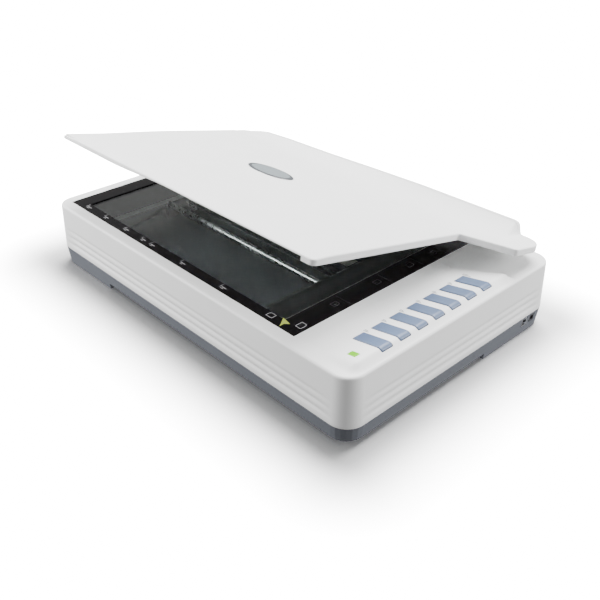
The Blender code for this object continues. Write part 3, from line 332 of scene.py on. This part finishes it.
# ---- materials -------------------------------------------------------------------------------
def surface(name, color, roughness, grain=0.0, grain_size=0.5, shade=0.03, blotch=40.0, **sockets):
    """A Principled surface with slow colour drift, uneven gloss and a fine raised grain.

    grain is the bump's height in millimetres and grain_size its spacing; shade is how far the
    colour drifts; blotch is the drift's size; sockets set other Principled inputs by name.
    """
    made = bpy.data.materials.new(name)
    made.use_nodes = True
    tree = made.node_tree
    shader = tree.nodes["Principled BSDF"]
    new, link = tree.nodes.new, tree.links.new
    place = new("ShaderNodeTexCoord").outputs["Object"]

    drift = new("ShaderNodeTexNoise")
    drift.inputs["Scale"].default_value = 1.0 / (blotch * MM)
    drift.inputs["Detail"].default_value = 4.0
    link(place, drift.inputs["Vector"])
    ramp = new("ShaderNodeValToRGB")
    low, high = ramp.color_ramp.elements
    low.position, high.position = 0.3, 0.7
    low.color = (*[c * (1.0 - shade) for c in color], 1.0)
    high.color = (*[min(c * (1.0 + shade), 1.0) for c in color], 1.0)
    link(drift.outputs["Fac"], ramp.inputs["Fac"])
    link(ramp.outputs["Color"], shader.inputs["Base Color"])

    smears = new("ShaderNodeTexNoise")
    smears.inputs["Scale"].default_value = 2.3 / (blotch * MM)
    smears.inputs["Detail"].default_value = 6.0
    link(place, smears.inputs["Vector"])
    gloss = new("ShaderNodeMapRange")
    gloss.inputs["To Min"].default_value = roughness * 0.85
    gloss.inputs["To Max"].default_value = min(roughness * 1.15, 1.0)
    link(smears.outputs["Fac"], gloss.inputs["Value"])
    link(gloss.outputs["Result"], shader.inputs["Roughness"])

    if grain:
        texture = new("ShaderNodeTexNoise")
        texture.inputs["Scale"].default_value = 1.0 / (grain_size * MM)
        texture.inputs["Detail"].default_value = 3.0
        link(place, texture.inputs["Vector"])
        bump = new("ShaderNodeBump")
        bump.inputs["Strength"].default_value = 0.6
        bump.inputs["Distance"].default_value = grain * MM
        link(texture.outputs["Fac"], bump.inputs["Height"])
        link(bump.outputs["Normal"], shader.inputs["Normal"])
    for socket, value in sockets.items():
        shader.inputs[socket.replace("_", " ")].default_value = value
    return made


def brushed(name, color, roughness, axis=0):
    """Metal with fine drawn lines along one axis."""
    made = surface(name, color, roughness, shade=0.05, blotch=15.0, Metallic=1.0)
    tree = made.node_tree
    new, link = tree.nodes.new, tree.links.new
    stretch = new("ShaderNodeMapping")
    stretch.inputs["Scale"].default_value = [0.03 if i == axis else 1.0 for i in range(3)]
    link(new("ShaderNodeTexCoord").outputs["Object"], stretch.inputs["Vector"])
    lines = new("ShaderNodeTexNoise")
    lines.inputs["Scale"].default_value = 1.0 / (0.4 * MM)
    link(stretch.outputs["Vector"], lines.inputs["Vector"])
    bump = new("ShaderNodeBump")
    bump.inputs["Strength"].default_value = 0.3
    bump.inputs["Distance"].default_value = 0.02 * MM
    link(lines.outputs["Fac"], bump.inputs["Height"])
    link(bump.outputs["Normal"], tree.nodes["Principled BSDF"].inputs["Normal"])
    return made


WHITE = surface(
    "moulded_white", (0.80, 0.803, 0.80), 0.48, grain=0.012, grain_size=0.45, shade=0.012,
    Specular_IOR_Level=0.22,
)
# painted shade: black on the case's inner lining and on the walls of its holes, where only shade falls
PAINTED_SHADE = surface("painted_shade_black", (0.02, 0.02, 0.022), 0.7, grain=0.02, grain_size=0.8, shade=0.15)
GREY = surface(
    "moulded_grey", (0.112, 0.12, 0.14), 0.5, grain=0.02, grain_size=0.5, shade=0.04,
    Specular_IOR_Level=0.3,
)
BLACK = surface(
    "printed_black", (0.004, 0.0035, 0.004), 0.22, grain=0.003, grain_size=0.4, shade=0.1,
    Specular_IOR_Level=0.16,
)
KEY = surface("key_blue", (0.086, 0.125, 0.21), 0.38, grain=0.01, grain_size=0.35, blotch=12.0)
LENS = surface(
    "green_lens", (0.08, 0.30, 0.0), 0.3, shade=0.05, blotch=4.0,
    Emission_Color=(0.32, 1.0, 0.0, 1.0), Emission_Strength=0.7, Transmission_Weight=0.2,
)
GLASS = surface("float_glass", (0.90, 0.95, 0.93), 0.02, shade=0.01, Transmission_Weight=1.0, IOR=1.52)
FOAM = surface("foam_film", (0.84, 0.84, 0.82), 0.75, grain=0.12, grain_size=1.6, shade=0.02)
STEEL = brushed("drawn_steel", (0.56, 0.57, 0.59), 0.28)
BRONZE = surface(
    "sintered_bronze", (0.55, 0.38, 0.18), 0.45, grain=0.03, shade=0.1, blotch=3.0, Metallic=1.0,
)
BOARD = surface(
    "solder_mask", (0.02, 0.16, 0.07), 0.35, grain=0.02, grain_size=1.2, shade=0.15, blotch=6.0,
)
DARK = surface("dark_plastic", (0.035, 0.035, 0.04), 0.5, grain=0.02, shade=0.12)
NYLON = surface("natural_nylon", (0.74, 0.73, 0.68), 0.45, grain=0.01, shade=0.03, blotch=12.0)
RUBBER = surface("foot_rubber", (0.025, 0.025, 0.025), 0.85, grain=0.05, grain_size=0.7, shade=0.2)
TUBE = surface("frosted_tube", (0.86, 0.88, 0.90), 0.2, shade=0.02, Transmission_Weight=0.3)
SILVER = surface("badge_silver", (0.205, 0.24, 0.255), 0.3, shade=0.06, blotch=9.0, Coat_Weight=0.6)
RING = surface("badge_ring", (0.055, 0.062, 0.07), 0.3, shade=0.05, blotch=9.0, Coat_Weight=0.6)
MIRROR = surface("silvered_glass", (0.82, 0.84, 0.86), 0.03, shade=0.01, Metallic=1.0)
PRINT_LIGHT = surface("light_print", (0.42, 0.42, 0.43), 0.5, shade=0.06, blotch=2.0)
PRINT_GREY = surface("grey_print", (0.09, 0.093, 0.10), 0.5, shade=0.06, blotch=2.0)
PRINT_GREEN = surface("green_print", (0.36, 0.42, 0.07), 0.5, shade=0.06, blotch=3.0)


# ---- top of the case -------------------------------------------------------------------------
def wing_line(x):
    """Where the closed lid's slanted wing edge runs, as y over the deck."""
    slope = (NOTCH_U - WING_U) / (WING_END - LID_RIGHT)
    return AXIS.y + AXIS_U - NOTCH_U + slope * (min(max(x, LID_RIGHT), WING_END) - LID_RIGHT)


def top_height(x, y):
    """Height of the case's top: a level deck with the key panel modelled in it.

    The slopes at the panel's front and back get wider from the crease towards the crest.
    """
    share = min(max((x - CREASE_X) / (CREST_X - CREASE_X), 0.0), 1.0)
    front = PANEL_FRONT_Y[0] + (PANEL_FRONT_Y[1] - PANEL_FRONT_Y[0]) * share
    fade_in = smoothstep(front - 7.0 - 9.0 * share, front + 1.0, y)
    back = wing_line(x) - 1.5
    fade_out = 1.0 - smoothstep(back - 1.5 - 6.0 * share, back, y)
    return DECK + softened(PANEL_KNOTS, x, 2.2) * fade_in * fade_out


def on_top(points, rise):
    """Plan points laid on the case's top and lifted by rise."""
    return [(p.x, p.y, top_height(p.x, p.y) + rise) for p in points]


def groove_depth(z):
    depth = 0.0
    for level, deep in GROOVES:
        share = abs(z - level) / GROOVE_HALF
        if share < 1.0:
            depth += deep * (0.5 + 0.5 * math.cos(math.pi * share))
    return depth


def groove_fade(point):
    """The grooves' share at an outline point: whole along the sides, gone at the corners."""
    x, y = abs(point.x), abs(point.y)
    straight_x, straight_y = HALF_X - CORNER_RADIUS, HALF_Y - CORNER_RADIUS
    if x > straight_x and y > straight_y:
        return 0.0
    place, end = (x, straight_x) if abs(y - HALF_Y) < 0.01 else (y, straight_y)
    return smoothstep(end + GROOVE_GONE, end + GROOVE_WHOLE, place)


def opening(shell, x, y, radius, rounding, depth):
    """Gives the top a hole with a rounded edge and a black wall of painted shade, and returns the hole's loop."""
    land = rounding + 0.9
    edge = rectangle(x, y, radius, spacing=3.0)
    levels = [(land, 0.0), *[(out, drop) for drop, out in quarter(rounding, 4)], (0.0, depth)]
    rings = [on_top(edge.offset(-out), -drop) for out, drop in levels]
    shell.rings(rings[:-1], flip=True)
    # the hole's wall takes the black painted shade
    shell.slot = 1
    shell.rings(rings[-2:], flip=True)
    shell.slot = 0
    return edge.offset(-land)


def cover_openings(shell):
    """Holes for the document frame, the keys, the status lens and the hinge posts."""
    holes = [opening(shell, FRAME_X, FRAME_Y, 1.2, 0.35, 4.0)]
    for key in KEYS:
        x, y = plan_span(key)
        holes.append(opening(shell, widened(x, KEY_GAP), widened(y, KEY_GAP), 1.6, 0.4, 4.5))
    x, y = plan_span("status_lens")
    holes.append(opening(shell, widened(x, 0.2), widened(y, 0.2), 1.0, 0.3, 3.0))
    pocket_y = widened((AXIS.y, AXIS.y), POCKET_HALF[1])
    for x in HINGE_X:
        holes.append(opening(shell, widened((x, x), POCKET_HALF[0]), pocket_y, 1.5, 0.5, 3.5))
    return holes


def build_cover():
    quadrants = ((1, -1), (1, 1), (-1, 1), (-1, -1))
    corners = [(HALF_X * side, HALF_Y * end, CORNER_RADIUS) for side, end in quadrants]
    outline = Outline(corners, spacing=9.0, steps=16)
    fade = [groove_fade(point) for point in outline.points]

    def ring(z, inset, grooves=0.0):
        slide = COVER_DRAFT * (z - SPLIT_HEIGHT) + inset
        places = zip(outline.points, outline.normals, fade)
        return [(*(p - n * (slide + grooves * f)), z) for p, n, f in places]

    foot = SPLIT_HEIGHT + SEAM
    rings = [ring(foot + INNER_LIP, WALL), ring(foot, WALL)]
    rings += [ring(foot + rise, inset) for rise, inset in ((0.0, 0.5), (0.15, 0.15), (0.5, 0.0))]
    z = GROOVE_BAND[0]
    while z < GROOVE_BAND[1]:
        rings.append(ring(z, 0.0, groove_depth(z)))
        z += GROOVE_STEP
    rings += [ring(z, 0.0) for z in (70.0, 78.0, 86.0, DECK - TOP_ROUNDING - 1.0)]
    rings += [ring(DECK - drop, inset) for inset, drop in quarter(TOP_ROUNDING, 7)]
    last = ring(DECK, TOP_ROUNDING + 1.5)
    rings.append([(x, y, top_height(x, y)) for x, y, _ in last])
    shell = Mesh()
    shell.rings(rings)
    holes = cover_openings(shell)

    # columns of points where the panel bends, closest at its crease, crest and end
    columns = [206.6, 209, 213, 217, 220, 222, 223, 224, 225, 226, 228, 232, 238, 244, 249, 252, 254]
    columns += [256, 258, 262, 267, 272, 277, 282, 286, 289, 291, 292.5, 293.5, 294.5, 295.5, 296.5]
    columns += [298, 300, 302, 303.5, 304.5]
    inner = [(x, -HALF_Y + 5.0 + 3.0 * j) for x in columns for j in range(107)]
    inner += [(-300.0 + 20.0 * i, y) for i in range(26) for y in (-188.0, 168.0, 182.0, 191.0)]
    shell.fill([p[:2] for p in last], holes, inner, top_height, margin=0.9)

    # inner faces seen through the glass, black as painted shade
    ceiling = DECK - CEILING_DROP
    shell.slot = 1
    lining = [ring(z, WALL) for z in (foot + INNER_LIP, ceiling)]
    shell.rings(lining, flip=True)
    window = rectangle(widened(FRAME_X, 1.0), widened(FRAME_Y, 1.0), 1.2)
    shell.fill([p[:2] for p in lining[-1]], [window.points], [], lambda x, y: ceiling, flip=True)
    shell.object("cover_shell", [WHITE, PAINTED_SHADE], "root", ["upper_case"])


# ---- keys and status lens --------------------------------------------------------------------
def build_key(key):
    x, y = plan_span(key)
    middle, half = (y[0] + y[1]) / 2, (y[1] - y[0]) / 2

    def crowned(a, b):
        """The cap's top, slightly raised along its middle."""
        return top_height(a, b) + KEY_PROUD + 0.15 * (1.0 - ((b - middle) / half) ** 2)

    cap = Mesh()
    edge = rectangle(x, y, 1.5, spacing=3.0)
    levels = [(0.0, KEY_DEPTH), *quarter(KEY_ROUNDING, 5)]
    cap.rings([on_top(edge.offset(inset), KEY_PROUD - drop) for inset, drop in levels])
    columns = [x[0] + (x[1] - x[0]) * i / 22 for i in range(1, 22)]
    columns += [CREST_X - 0.8, CREST_X, CREST_X + 0.8]
    inner = [(a, y[0] + (y[1] - y[0]) * j / 8) for a in columns for j in range(1, 8)]
    cap.fill(edge.offset(KEY_ROUNDING), [], inner, crowned, margin=0.5)
    cap.fill(edge.points, [], [], lambda a, b: top_height(a, b) + KEY_PROUD - KEY_DEPTH, flip=True)
    body = "button_" + key.split("_")[1]
    cap.object(f"cap_{key}", [KEY], body, [key], angle=50.0)


def build_lens():
    x, y = plan_span("status_lens")
    edge = rectangle(x, y, 0.9, spacing=3.0)
    levels = ((0.0, -3.0), (0.0, 0.0), (0.25, 0.25), (0.7, 0.4))
    top_inset, top_rise = levels[-1]
    lens = Mesh()
    lens.rings([on_top(edge.offset(inset), rise) for inset, rise in levels])
    lens.fill(edge.offset(top_inset), [], [], lambda a, b: top_height(a, b) + top_rise)
    lens.object("lens_cap", [LENS], "root", ["status_lens"], angle=50.0)


# ---- print on the panel and on the black surround --------------------------------------------
def stroke(target, points, width, height):
    """A flat printed line through (x, y) points, lying on height(x, y)."""
    half = width / 2
    for start, end in zip(points, points[1:]):
        a, b = Vector(start), Vector(end)
        run = (b - a).normalized()
        side = Vector((-run.y, run.x)) * half
        a, b = a - run * half * 0.9, b + run * half * 0.9
        count = max(int((b - a).length / 4.0), 1)
        row = []
        for k in range(count + 1):
            p = a.lerp(b, k / count)
            row += [p - side, p + side]
        faces = [(2 * k, 2 * k + 2, 2 * k + 3, 2 * k + 1) for k in range(count)]
        target.add([(p.x, p.y, height(p.x, p.y) + PRINT_LIFT) for p in row], faces)


def page_mark(target, x, y, size, turn, height):
    """An outline of a sheet with one corner folded over."""
    wide, tall, fold = size, size * 1.25, size * 0.35
    shape = [(-wide, -tall), (wide, -tall), (wide, tall - fold), (wide - fold, tall)]
    shape += [(-wide, tall), (-wide, -tall)]
    crease = [(wide, tall - fold), (wide - fold, tall - fold), (wide - fold, tall)]
    c, s = math.cos(turn), math.sin(turn)
    for line in (shape, crease):
        stroke(target, [(x + a * c - b * s, y + a * s + b * c) for a, b in line], 0.8, height)


def deck_level(x, y):
    return DECK


def build_surround_marks():
    """Ticks with short strokes and two page outlines on the front strip, faint pages on the right."""
    light = Mesh()
    strip_y = FRAME_Y[0] + SURROUND_FRONT
    for number, x in enumerate((-262.0, -214.0, -160.0, -118.0, -96.0, -26.0, 60.0)):
        tick = 5.0 if number % 2 else 7.5
        stroke(light, [(x, strip_y - 1.2), (x, strip_y - 1.2 - tick)], 0.7, deck_level)
        stroke(light, [(x + 3.0, strip_y - 6.8), (x + 11.0, strip_y - 6.8)], 1.1, deck_level)
        stroke(light, [(x + 3.0, strip_y - 9.6), (x + 8.0, strip_y - 9.6)], 0.8, deck_level)
    page_mark(light, 154.3, -169.0, 4.0, math.radians(90.0), deck_level)
    page_mark(light, 195.0, -158.0, 4.4, 0.0, deck_level)
    light.object("surround_marks", [PRINT_LIGHT], "root")

    faint = Mesh()
    strip_x = FRAME_X[1] - SURROUND_RIGHT / 2
    for y in (-96.0, -20.0, 44.0, 92.0):
        page_mark(faint, strip_x, y, 4.0, 0.0, deck_level)
        stroke(faint, [(strip_x - 12.0, y + 14.0), (strip_x + 12.0, y + 14.0)], 0.6, deck_level)
    faint.object("surround_faint_marks", [DARK], "root")


def build_arrow():
    """A green arrowhead on the surround's front strip."""
    arrow = Mesh()
    tip, left, right, notch = (168.5, -162.2), (184.0, -165.5), (178.6, -177.6), (178.5, -170.4)
    corners = [(x, y, DECK + PRINT_LIFT) for x, y in (tip, right, notch, left)]
    arrow.add(corners, [(0, 1, 2), (0, 2, 3)])
    arrow.object("surround_arrow", [PRINT_GREEN], "root")


def build_legend():
    """Two strokes behind each key, where its label would be."""
    legend = Mesh()
    for key in KEYS:
        x, y = plan_span(key)
        start, back = x[0] - 3.0, y[1] + 3.4
        reach = 12.0 if key == KEYS[-1] else 7.0
        stroke(legend, [(start, back), (start + reach, back)], 1.0, top_height)
        stroke(legend, [(start, back + 2.4), (start + 0.6 * reach, back + 2.4)], 0.8, top_height)
    legend.object("key_legend", [PRINT_GREY], "root")


# ---- lid -------------------------------------------------------------------------------------
def lid_height(x, u):
    """Height of the lid's top face over its lower edge."""
    share = max((u - (LID_FRONT - FRONT_ROLL)) / FRONT_ROLL, 0.0)
    # the front edge rolls down by 2 mm, and by 3 mm towards the left
    height = LID_THICK - (2.0 + smoothstep(-40.0, -180.0, x)) * share * share
    # the plate falls gently towards its front-left corner
    height -= 3.8 * smoothstep(LID_LEFT + 34.0, LID_LEFT, x) * smoothstep(150.0, 350.0, u)
    lean = (RIDGE_FOOT_U - u) / (RIDGE_FOOT_U - RIDGE_CREST_U)
    if lean > 0.0:
        ridge = softened(RIDGE, x, 2.0)
        sweep = min(lean, 1.0) ** 2.2
        # a shallow valley runs in front of the ridge and ends with it
        dip = 0.5 * math.exp(-(((u - 16.0) / 12.0) ** 2))
        height += SWEEP_SHARE * ridge * sweep - dip * smoothstep(275.0, 245.0, x)
        # a fine step sets the crest off from the sweep, lower where the ridge is under 8 mm
        step = CREST_STEP * min(ridge / 8.0, 1.0)
        height += step * smoothstep(RIDGE_CREST_U, RIDGE_CREST_U - 0.7, u)
    return height


def lid_point(x, u, v):
    """A place on the lid, in the space that turns about the hinge axis."""
    return (x, AXIS_U - u, v - AXIS_OVER)


def lid_bottom(x, u):
    """Lower edge of the lid's skirt."""
    if u > LID_FRONT - 1.0 and LIP_START_X < x < LIP_END_X:
        return LIP_BOTTOM * (1.0 - smoothstep(-30.0, -170.0, x))
    if u < LID_REAR + 1.0 and any(abs(x - h) < BAY_HALF for h in HINGE_X):
        return BAY_RISE
    return REAR_RISE * smoothstep(LID_REAR + 14.0, LID_REAR + 2.0, u)


def lid_outline():
    """The lid's plan with y = -u, so that it runs anticlockwise seen from above."""
    corners = [(x, -u, radius) for x, u, radius in LID_CORNERS]
    outline = Outline(corners, spacing=8.0, steps=10)
    # two points close together keep each step in the lower edge sharp
    nudges = (-EDGE_STEP, EDGE_STEP)
    places = [(x + nudge, -LID_FRONT) for x in (LIP_END_X, LIP_START_X) for nudge in nudges]
    for x in HINGE_X:
        for side in (-1, 1):
            places += [(x + side * BAY_HALF + nudge, -LID_REAR) for nudge in nudges]
    places += [(x, -LID_REAR) for x in RIDGE_END_X]
    return outline.insert(places)


def build_lid():
    outline = lid_outline()

    def ring(inset, height):
        """The outline drawn in by inset, with each point at height(point, out)."""
        loop = []
        for point, out in zip(outline.points, outline.normals):
            place = point - out * inset
            loop.append(lid_point(place.x, -place.y, height(point, out)))
        return loop

    def edge(rise):
        return lambda point, out: lid_bottom(point.x, -point.y) + rise

    def skirt(share):
        """Part of the way from the lower edge to the foot of the rounded top edge."""

        def height(point, out):
            low = lid_bottom(point.x, -point.y)
            return low + (LID_THICK - 2.4 - low) * share

        return height

    def rounded(drop):
        def height(point, out):
            spot = point - out * LID_ROUNDING
            return lid_height(spot.x, -spot.y) - drop

        return height

    ceiling_v = LID_THICK - LID_SKIN
    rings = [
        ring(LID_SKIN, lambda point, out: ceiling_v),
        ring(LID_SKIN, edge(0.3)),
        ring(LID_SKIN - 0.3, edge(0.0)),
        ring(0.45, edge(0.0)),
        ring(0.1, edge(0.35)),
    ]
    # a fine parting line runs half-way up the skirt
    parting = ((0.0, 0.42), (0.0, 0.45), (0.3, 0.47), (0.3, 0.50), (0.12, 0.52), (0.12, 0.6))
    rings += [ring(inset, skirt(share)) for inset, share in parting]
    rings += [ring(0.12 + inset, rounded(drop)) for inset, drop in quarter(LID_ROUNDING, 6)]

    def top(x, y):
        return lid_height(x, AXIS_U - y) - AXIS_OVER

    rim = [Vector((p.x, AXIS_U + p.y)) for p in outline.offset(LID_ROUNDING + 1.6)]
    rings.append([(p.x, p.y, top(p.x, p.y)) for p in rim])
    shell = Mesh()
    shell.rings(rings)

    # coarse columns cover the plate; fine ones, closest at the ridge's right end, cover the ridge
    coarse = [LID_LEFT + 6.0 + 11.5 * i for i in range(52)]
    fine = [LID_LEFT + 4.0 + 7.0 * i for i in range(78)]
    fine += [250.0, 253.0, 255.0, 256.5, 258.0, 259.0, 260.0, 261.0, 262.5, 265.0]
    crest_rows = (-19.0, -17.6, -16.3, -15.95, -15.6, -15.1)
    sweep_rows = (-13, -10, -7, -4, 0, 4, 8, 12, 16, 20, 25, 29)
    roll_rows = (311, 316, 321, 326, 331, 336, 340)
    inner = [(x, AXIS_U - u) for x in coarse for u in range(34, 345, 11)]
    inner += [(x, AXIS_U - u) for x in fine for u in crest_rows + sweep_rows]
    inner += [(x, AXIS_U - u) for x in coarse for u in roll_rows]
    shell.fill(rim, [], inner, top, margin=0.8)
    under = [p[:2] for p in rings[0]]
    shell.fill(under, [], [], lambda x, y: ceiling_v - AXIS_OVER, flip=True)

    # the front skirt stands back behind the thin lip
    back_y = AXIS_U - LID_FRONT + LIP_DEPTH
    skirt_y = (back_y, back_y + LID_SKIN)
    top_z = ceiling_v - AXIS_OVER + 0.2
    shell.box((LID_LEFT + 2.0, LIP_END_X + 1.0), skirt_y, (-AXIS_OVER, top_z))
    lip_x, lip_y = (LID_LEFT + 160.0, LIP_END_X + 1.0), (AXIS_U - LID_FRONT + 2.0, back_y + 0.2)
    shell.box(lip_x, lip_y, (LIP_BOTTOM - AXIS_OVER, top_z))
    shell.object("lid_cover", [WHITE], "lid", ["lid_shell"], LID_SPACE, angle=40.0)


def build_badge():
    """An oval: a grey ring round a light field that domes slightly."""
    steps = 72

    def oval(scale, rise):
        loop = []
        for i in range(steps):
            turn = 2 * math.pi * i / steps
            x = BADGE_X + BADGE_SIZE[0] * scale * math.cos(turn)
            u = BADGE_U - BADGE_SIZE[1] * scale * math.sin(turn)
            loop.append(lid_point(x, u, LID_THICK + rise))
        return loop

    rim = ((1.0, 0.1), (1.0, 0.5), (0.985, 0.85), (0.95, 1.05), (0.84, 1.2))
    field = ((0.84, 1.2), (0.82, 1.12), (0.6, 1.16), (0.3, 1.22), (0.08, 1.24))
    badge = Mesh()
    badge.slot = 1
    badge.rings([oval(*level) for level in rim])
    badge.slot = 0
    badge.rings([oval(*level) for level in field])
    badge.add(oval(*field[-1]), [tuple(range(steps))])
    badge.object("oval_badge", [SILVER, RING], "lid", ["lid_badge"], LID_SPACE, angle=50.0)


def build_pad():
    """The soft white pad that presses the document down."""
    corners = [LID_SPACE.inverted() @ (v.co / MM) for v in frame["nodes"]["document_pad"].data.vertices]
    low = [min(p[i] for p in corners) for i in range(3)]
    high = [max(p[i] for p in corners) for i in range(3)]
    thick = high[2] - low[2]
    edge = rectangle((low[0] + 0.3, high[0] - 0.3), (low[1] + 0.3, high[1] - 0.3), 6.0, steps=6)
    levels = ((1.2, 0.98), (0.4, 0.9), (0.0, 0.7), (0.0, 0.35), (0.4, 0.12), (1.3, 0.0))
    rings = []
    for inset, share in levels:
        rings.append([(p.x, p.y, low[2] + thick * share) for p in edge.offset(inset)])
    pad = Mesh()
    pad.rings(rings, flip=True)
    middle = Vector(((low[0] + high[0]) / 2, (low[1] + high[1]) / 2))
    reach = Vector(((high[0] - low[0]) / 2, (high[1] - low[1]) / 2))

    def hollow(x, y):
        """The foam's face is very slightly hollow towards its middle."""
        share = (1.0 - ((x - middle.x) / reach.x) ** 2) * (1.0 - ((y - middle.y) / reach.y) ** 2)
        return low[2] + 0.18 * max(share, 0.0)

    cell = 14.0
    grid = [
        (low[0] + cell * i, low[1] + cell * j)
        for i in range(1, int((high[0] - low[0]) / cell))
        for j in range(1, int((high[1] - low[1]) / cell))
    ]
    (top_inset, top_share), (face_inset, _) = levels[0], levels[-1]
    pad.fill(edge.offset(face_inset), [], grid, hollow, flip=True)
    pad.fill(edge.offset(top_inset), [], [], lambda x, y: low[2] + thick * top_share)
    cushion = pad.object("foam_pad", [FOAM], "lid", ["document_pad"], LID_SPACE, angle=60.0)


# ---- carried-over CAD nodes ------------------------------------------------------------------
FINISHES = {
    "white_plastic": WHITE,
    "grey_plastic": GREY,
    "black_frame": BLACK,
    "scan_glass": GLASS,
    "key_plastic": KEY,
    "status_lens": LENS,
    "foam_pad": FOAM,
    "steel": STEEL,
    "bronze": BRONZE,
    "circuit_board": BOARD,
    "dark_plastic": DARK,
    "nylon": NYLON,
    "rubber": RUBBER,
    "lamp_tube": TUBE,
    "badge": SILVER,
    "mirror_glass": MIRROR,
}
BEVELS = {
    "lower_case": 0.5,
    "document_frame": 0.25,
    "scan_glass": 0.3,
    "usb_socket": 0.25,
    "power_jack": 0.3,
    "transport_lock": 0.5,
    "carriage_frame": 0.6,
    "lid_inner_panel": 0.4,
    "drive_motor": 0.8,
}
for side in ("left", "right"):
    BEVELS[f"hinge_post_{side}"] = 0.6
    BEVELS[f"hinge_bracket_{side}"] = 0.4
    BEVELS[f"hinge_socket_{side}"] = 0.4
for number in range(1, 5):
    BEVELS[f"rubber_foot_{number}"] = 0.6


def finish_nodes():
    """Every CAD node gets its material, and the larger ones a small bevel."""
    for part in frame["record"]["subparts"]:
        node = frame["nodes"][part["node"]]
        if not node.material_slots:
            node.data.materials.append(None)
        for held in node.material_slots:
            held.material = FINISHES[part["material_slot"]]
        if part["node"] in BEVELS:
            bevel = node.modifiers.new("soft_edges", "BEVEL")
            bevel.width = BEVELS[part["node"]] * MM
            bevel.segments = 2
            bevel.limit_method = "ANGLE"
            bevel.angle_limit = math.radians(35.0)


# ---- floor, light, camera --------------------------------------------------------------------
def floor_finish():
    """A white floor that takes soft contact shadows, with painted light: it glows more the further it lies from
    the case, as a lit sweep would.
    """
    made = surface("studio_floor", (0.95, 0.95, 0.95), 0.9, shade=0.002, blotch=900.0)
    tree = made.node_tree
    new, link = tree.nodes.new, tree.links.new

    def vector_step(operation, source, value=None):
        step = new("ShaderNodeVectorMath")
        step.operation = operation
        link(source, step.inputs[0])
        if value is not None:
            step.inputs[1].default_value = value
        return step.outputs

    place = new("ShaderNodeTexCoord").outputs["Object"]
    folded = vector_step("ABSOLUTE", place)["Vector"]
    beyond = vector_step("SUBTRACT", folded, (HALF_X * MM, HALF_Y * MM, 0.0))["Vector"]
    outside = vector_step("MAXIMUM", beyond, (0.0, 0.0, 0.0))["Vector"]
    distance = vector_step("LENGTH", outside)["Value"]
    # painted light: the floor's glow rises with distance from the case, leaving it darker close to the case
    ramp = new("ShaderNodeMapRange")
    ramp.interpolation_type = "SMOOTHSTEP"
    ramp.inputs["From Min"].default_value = GLOW_START
    ramp.inputs["From Max"].default_value = GLOW_END
    ramp.inputs["To Max"].default_value = FLOOR_GLOW
    link(distance, ramp.inputs["Value"])
    shader = tree.nodes["Principled BSDF"]
    shader.inputs["Emission Color"].default_value = (1.0, 1.0, 1.0, 1.0)
    link(ramp.outputs["Result"], shader.inputs["Emission Strength"])
    return made


def build_world():
    """Soft even light, with a white backdrop where the camera sees past the floor."""
    world = bpy.data.worlds.new("studio")
    bpy.context.scene.world = world
    world.use_nodes = True
    tree = world.node_tree
    new, link = tree.nodes.new, tree.links.new
    light = tree.nodes["Background"]
    light.inputs["Color"].default_value = (1.0, 1.0, 1.0, 1.0)
    light.inputs["Strength"].default_value = WORLD_LIGHT
    backdrop = new("ShaderNodeBackground")
    backdrop.inputs["Color"].default_value = (1.0, 1.0, 1.0, 1.0)
    backdrop.inputs["Strength"].default_value = FLOOR_GLOW
    choice = new("ShaderNodeMixShader")
    link(new("ShaderNodeLightPath").outputs["Is Camera Ray"], choice.inputs["Fac"])
    link(light.outputs["Background"], choice.inputs[1])
    link(backdrop.outputs["Background"], choice.inputs[2])
    link(choice.outputs["Shader"], tree.nodes["World Output"].inputs["Surface"])


def area(name, place, aim, size, power):
    light = bpy.data.lights.new(name, "AREA")
    light.shape = "RECTANGLE"
    light.size, light.size_y = size
    light.energy = power
    made = bpy.data.objects.new(name, light)
    bpy.context.scene.collection.objects.link(made)
    made.location = place
    made.rotation_euler = (Vector(aim) - Vector(place)).to_track_quat("-Z", "Y").to_euler()
    return made


def build_floor():
    half = FLOOR_HALF
    corners = [(-half, -half, 0), (half, -half, 0), (half, half, 0), (-half, half, 0)]
    mesh = bpy.data.meshes.new("floor")
    mesh.from_pydata(corners, [], [(0, 1, 2, 3)])
    floor = bpy.data.objects.new("floor", mesh)
    bpy.context.scene.collection.objects.link(floor)
    mesh.materials.append(floor_finish())
    # the floor's glow is for the camera: it adds no light to the object's sides
    floor.visible_diffuse = False
    floor.visible_glossy = False
    return floor


def build_lights(floor):
    area("overhead", (-0.3, 1.0, 2.35), (0.0, 0.0, 0.0), (2.2, 1.6), 215.0)
    left = area("picture_left", (-1.0, -0.95, 0.85), (-0.25, -0.2, 0.05), (0.6, 0.6), 48.0)
    right = area("picture_right", (1.5, 1.25, 0.65), (0.3, 0.0, 0.05), (0.8, 0.8), 52.0)
    # the side lights model the object and leave its contact shadow on the floor alone
    unlit = bpy.data.collections.new("not_side_lit")
    unlit.objects.link(floor)
    unlit.collection_objects[0].light_linking.link_state = "EXCLUDE"
    for light in (left, right):
        light.light_linking.receiver_collection = unlit


def build_camera():
    lens = bpy.data.cameras.new("camera")
    lens.sensor_width = SENSOR
    lens.lens = CAMERA_LENS
    lens.clip_end = 100.0
    camera = bpy.data.objects.new("camera", lens)
    bpy.context.scene.collection.objects.link(camera)
    camera.location = CAMERA_PLACE
    camera.rotation_euler = (math.radians(90.0 - CAMERA_DOWN), 0.0, math.radians(CAMERA_TURN))
    bpy.context.scene.camera = camera


build_cover()
for key in KEYS:
    build_key(key)
build_lens()
build_surround_marks()
build_arrow()
build_legend()
build_lid()
build_badge()
build_pad()
finish_nodes()
floor = build_floor()
build_world()
build_lights(floor)
build_camera()
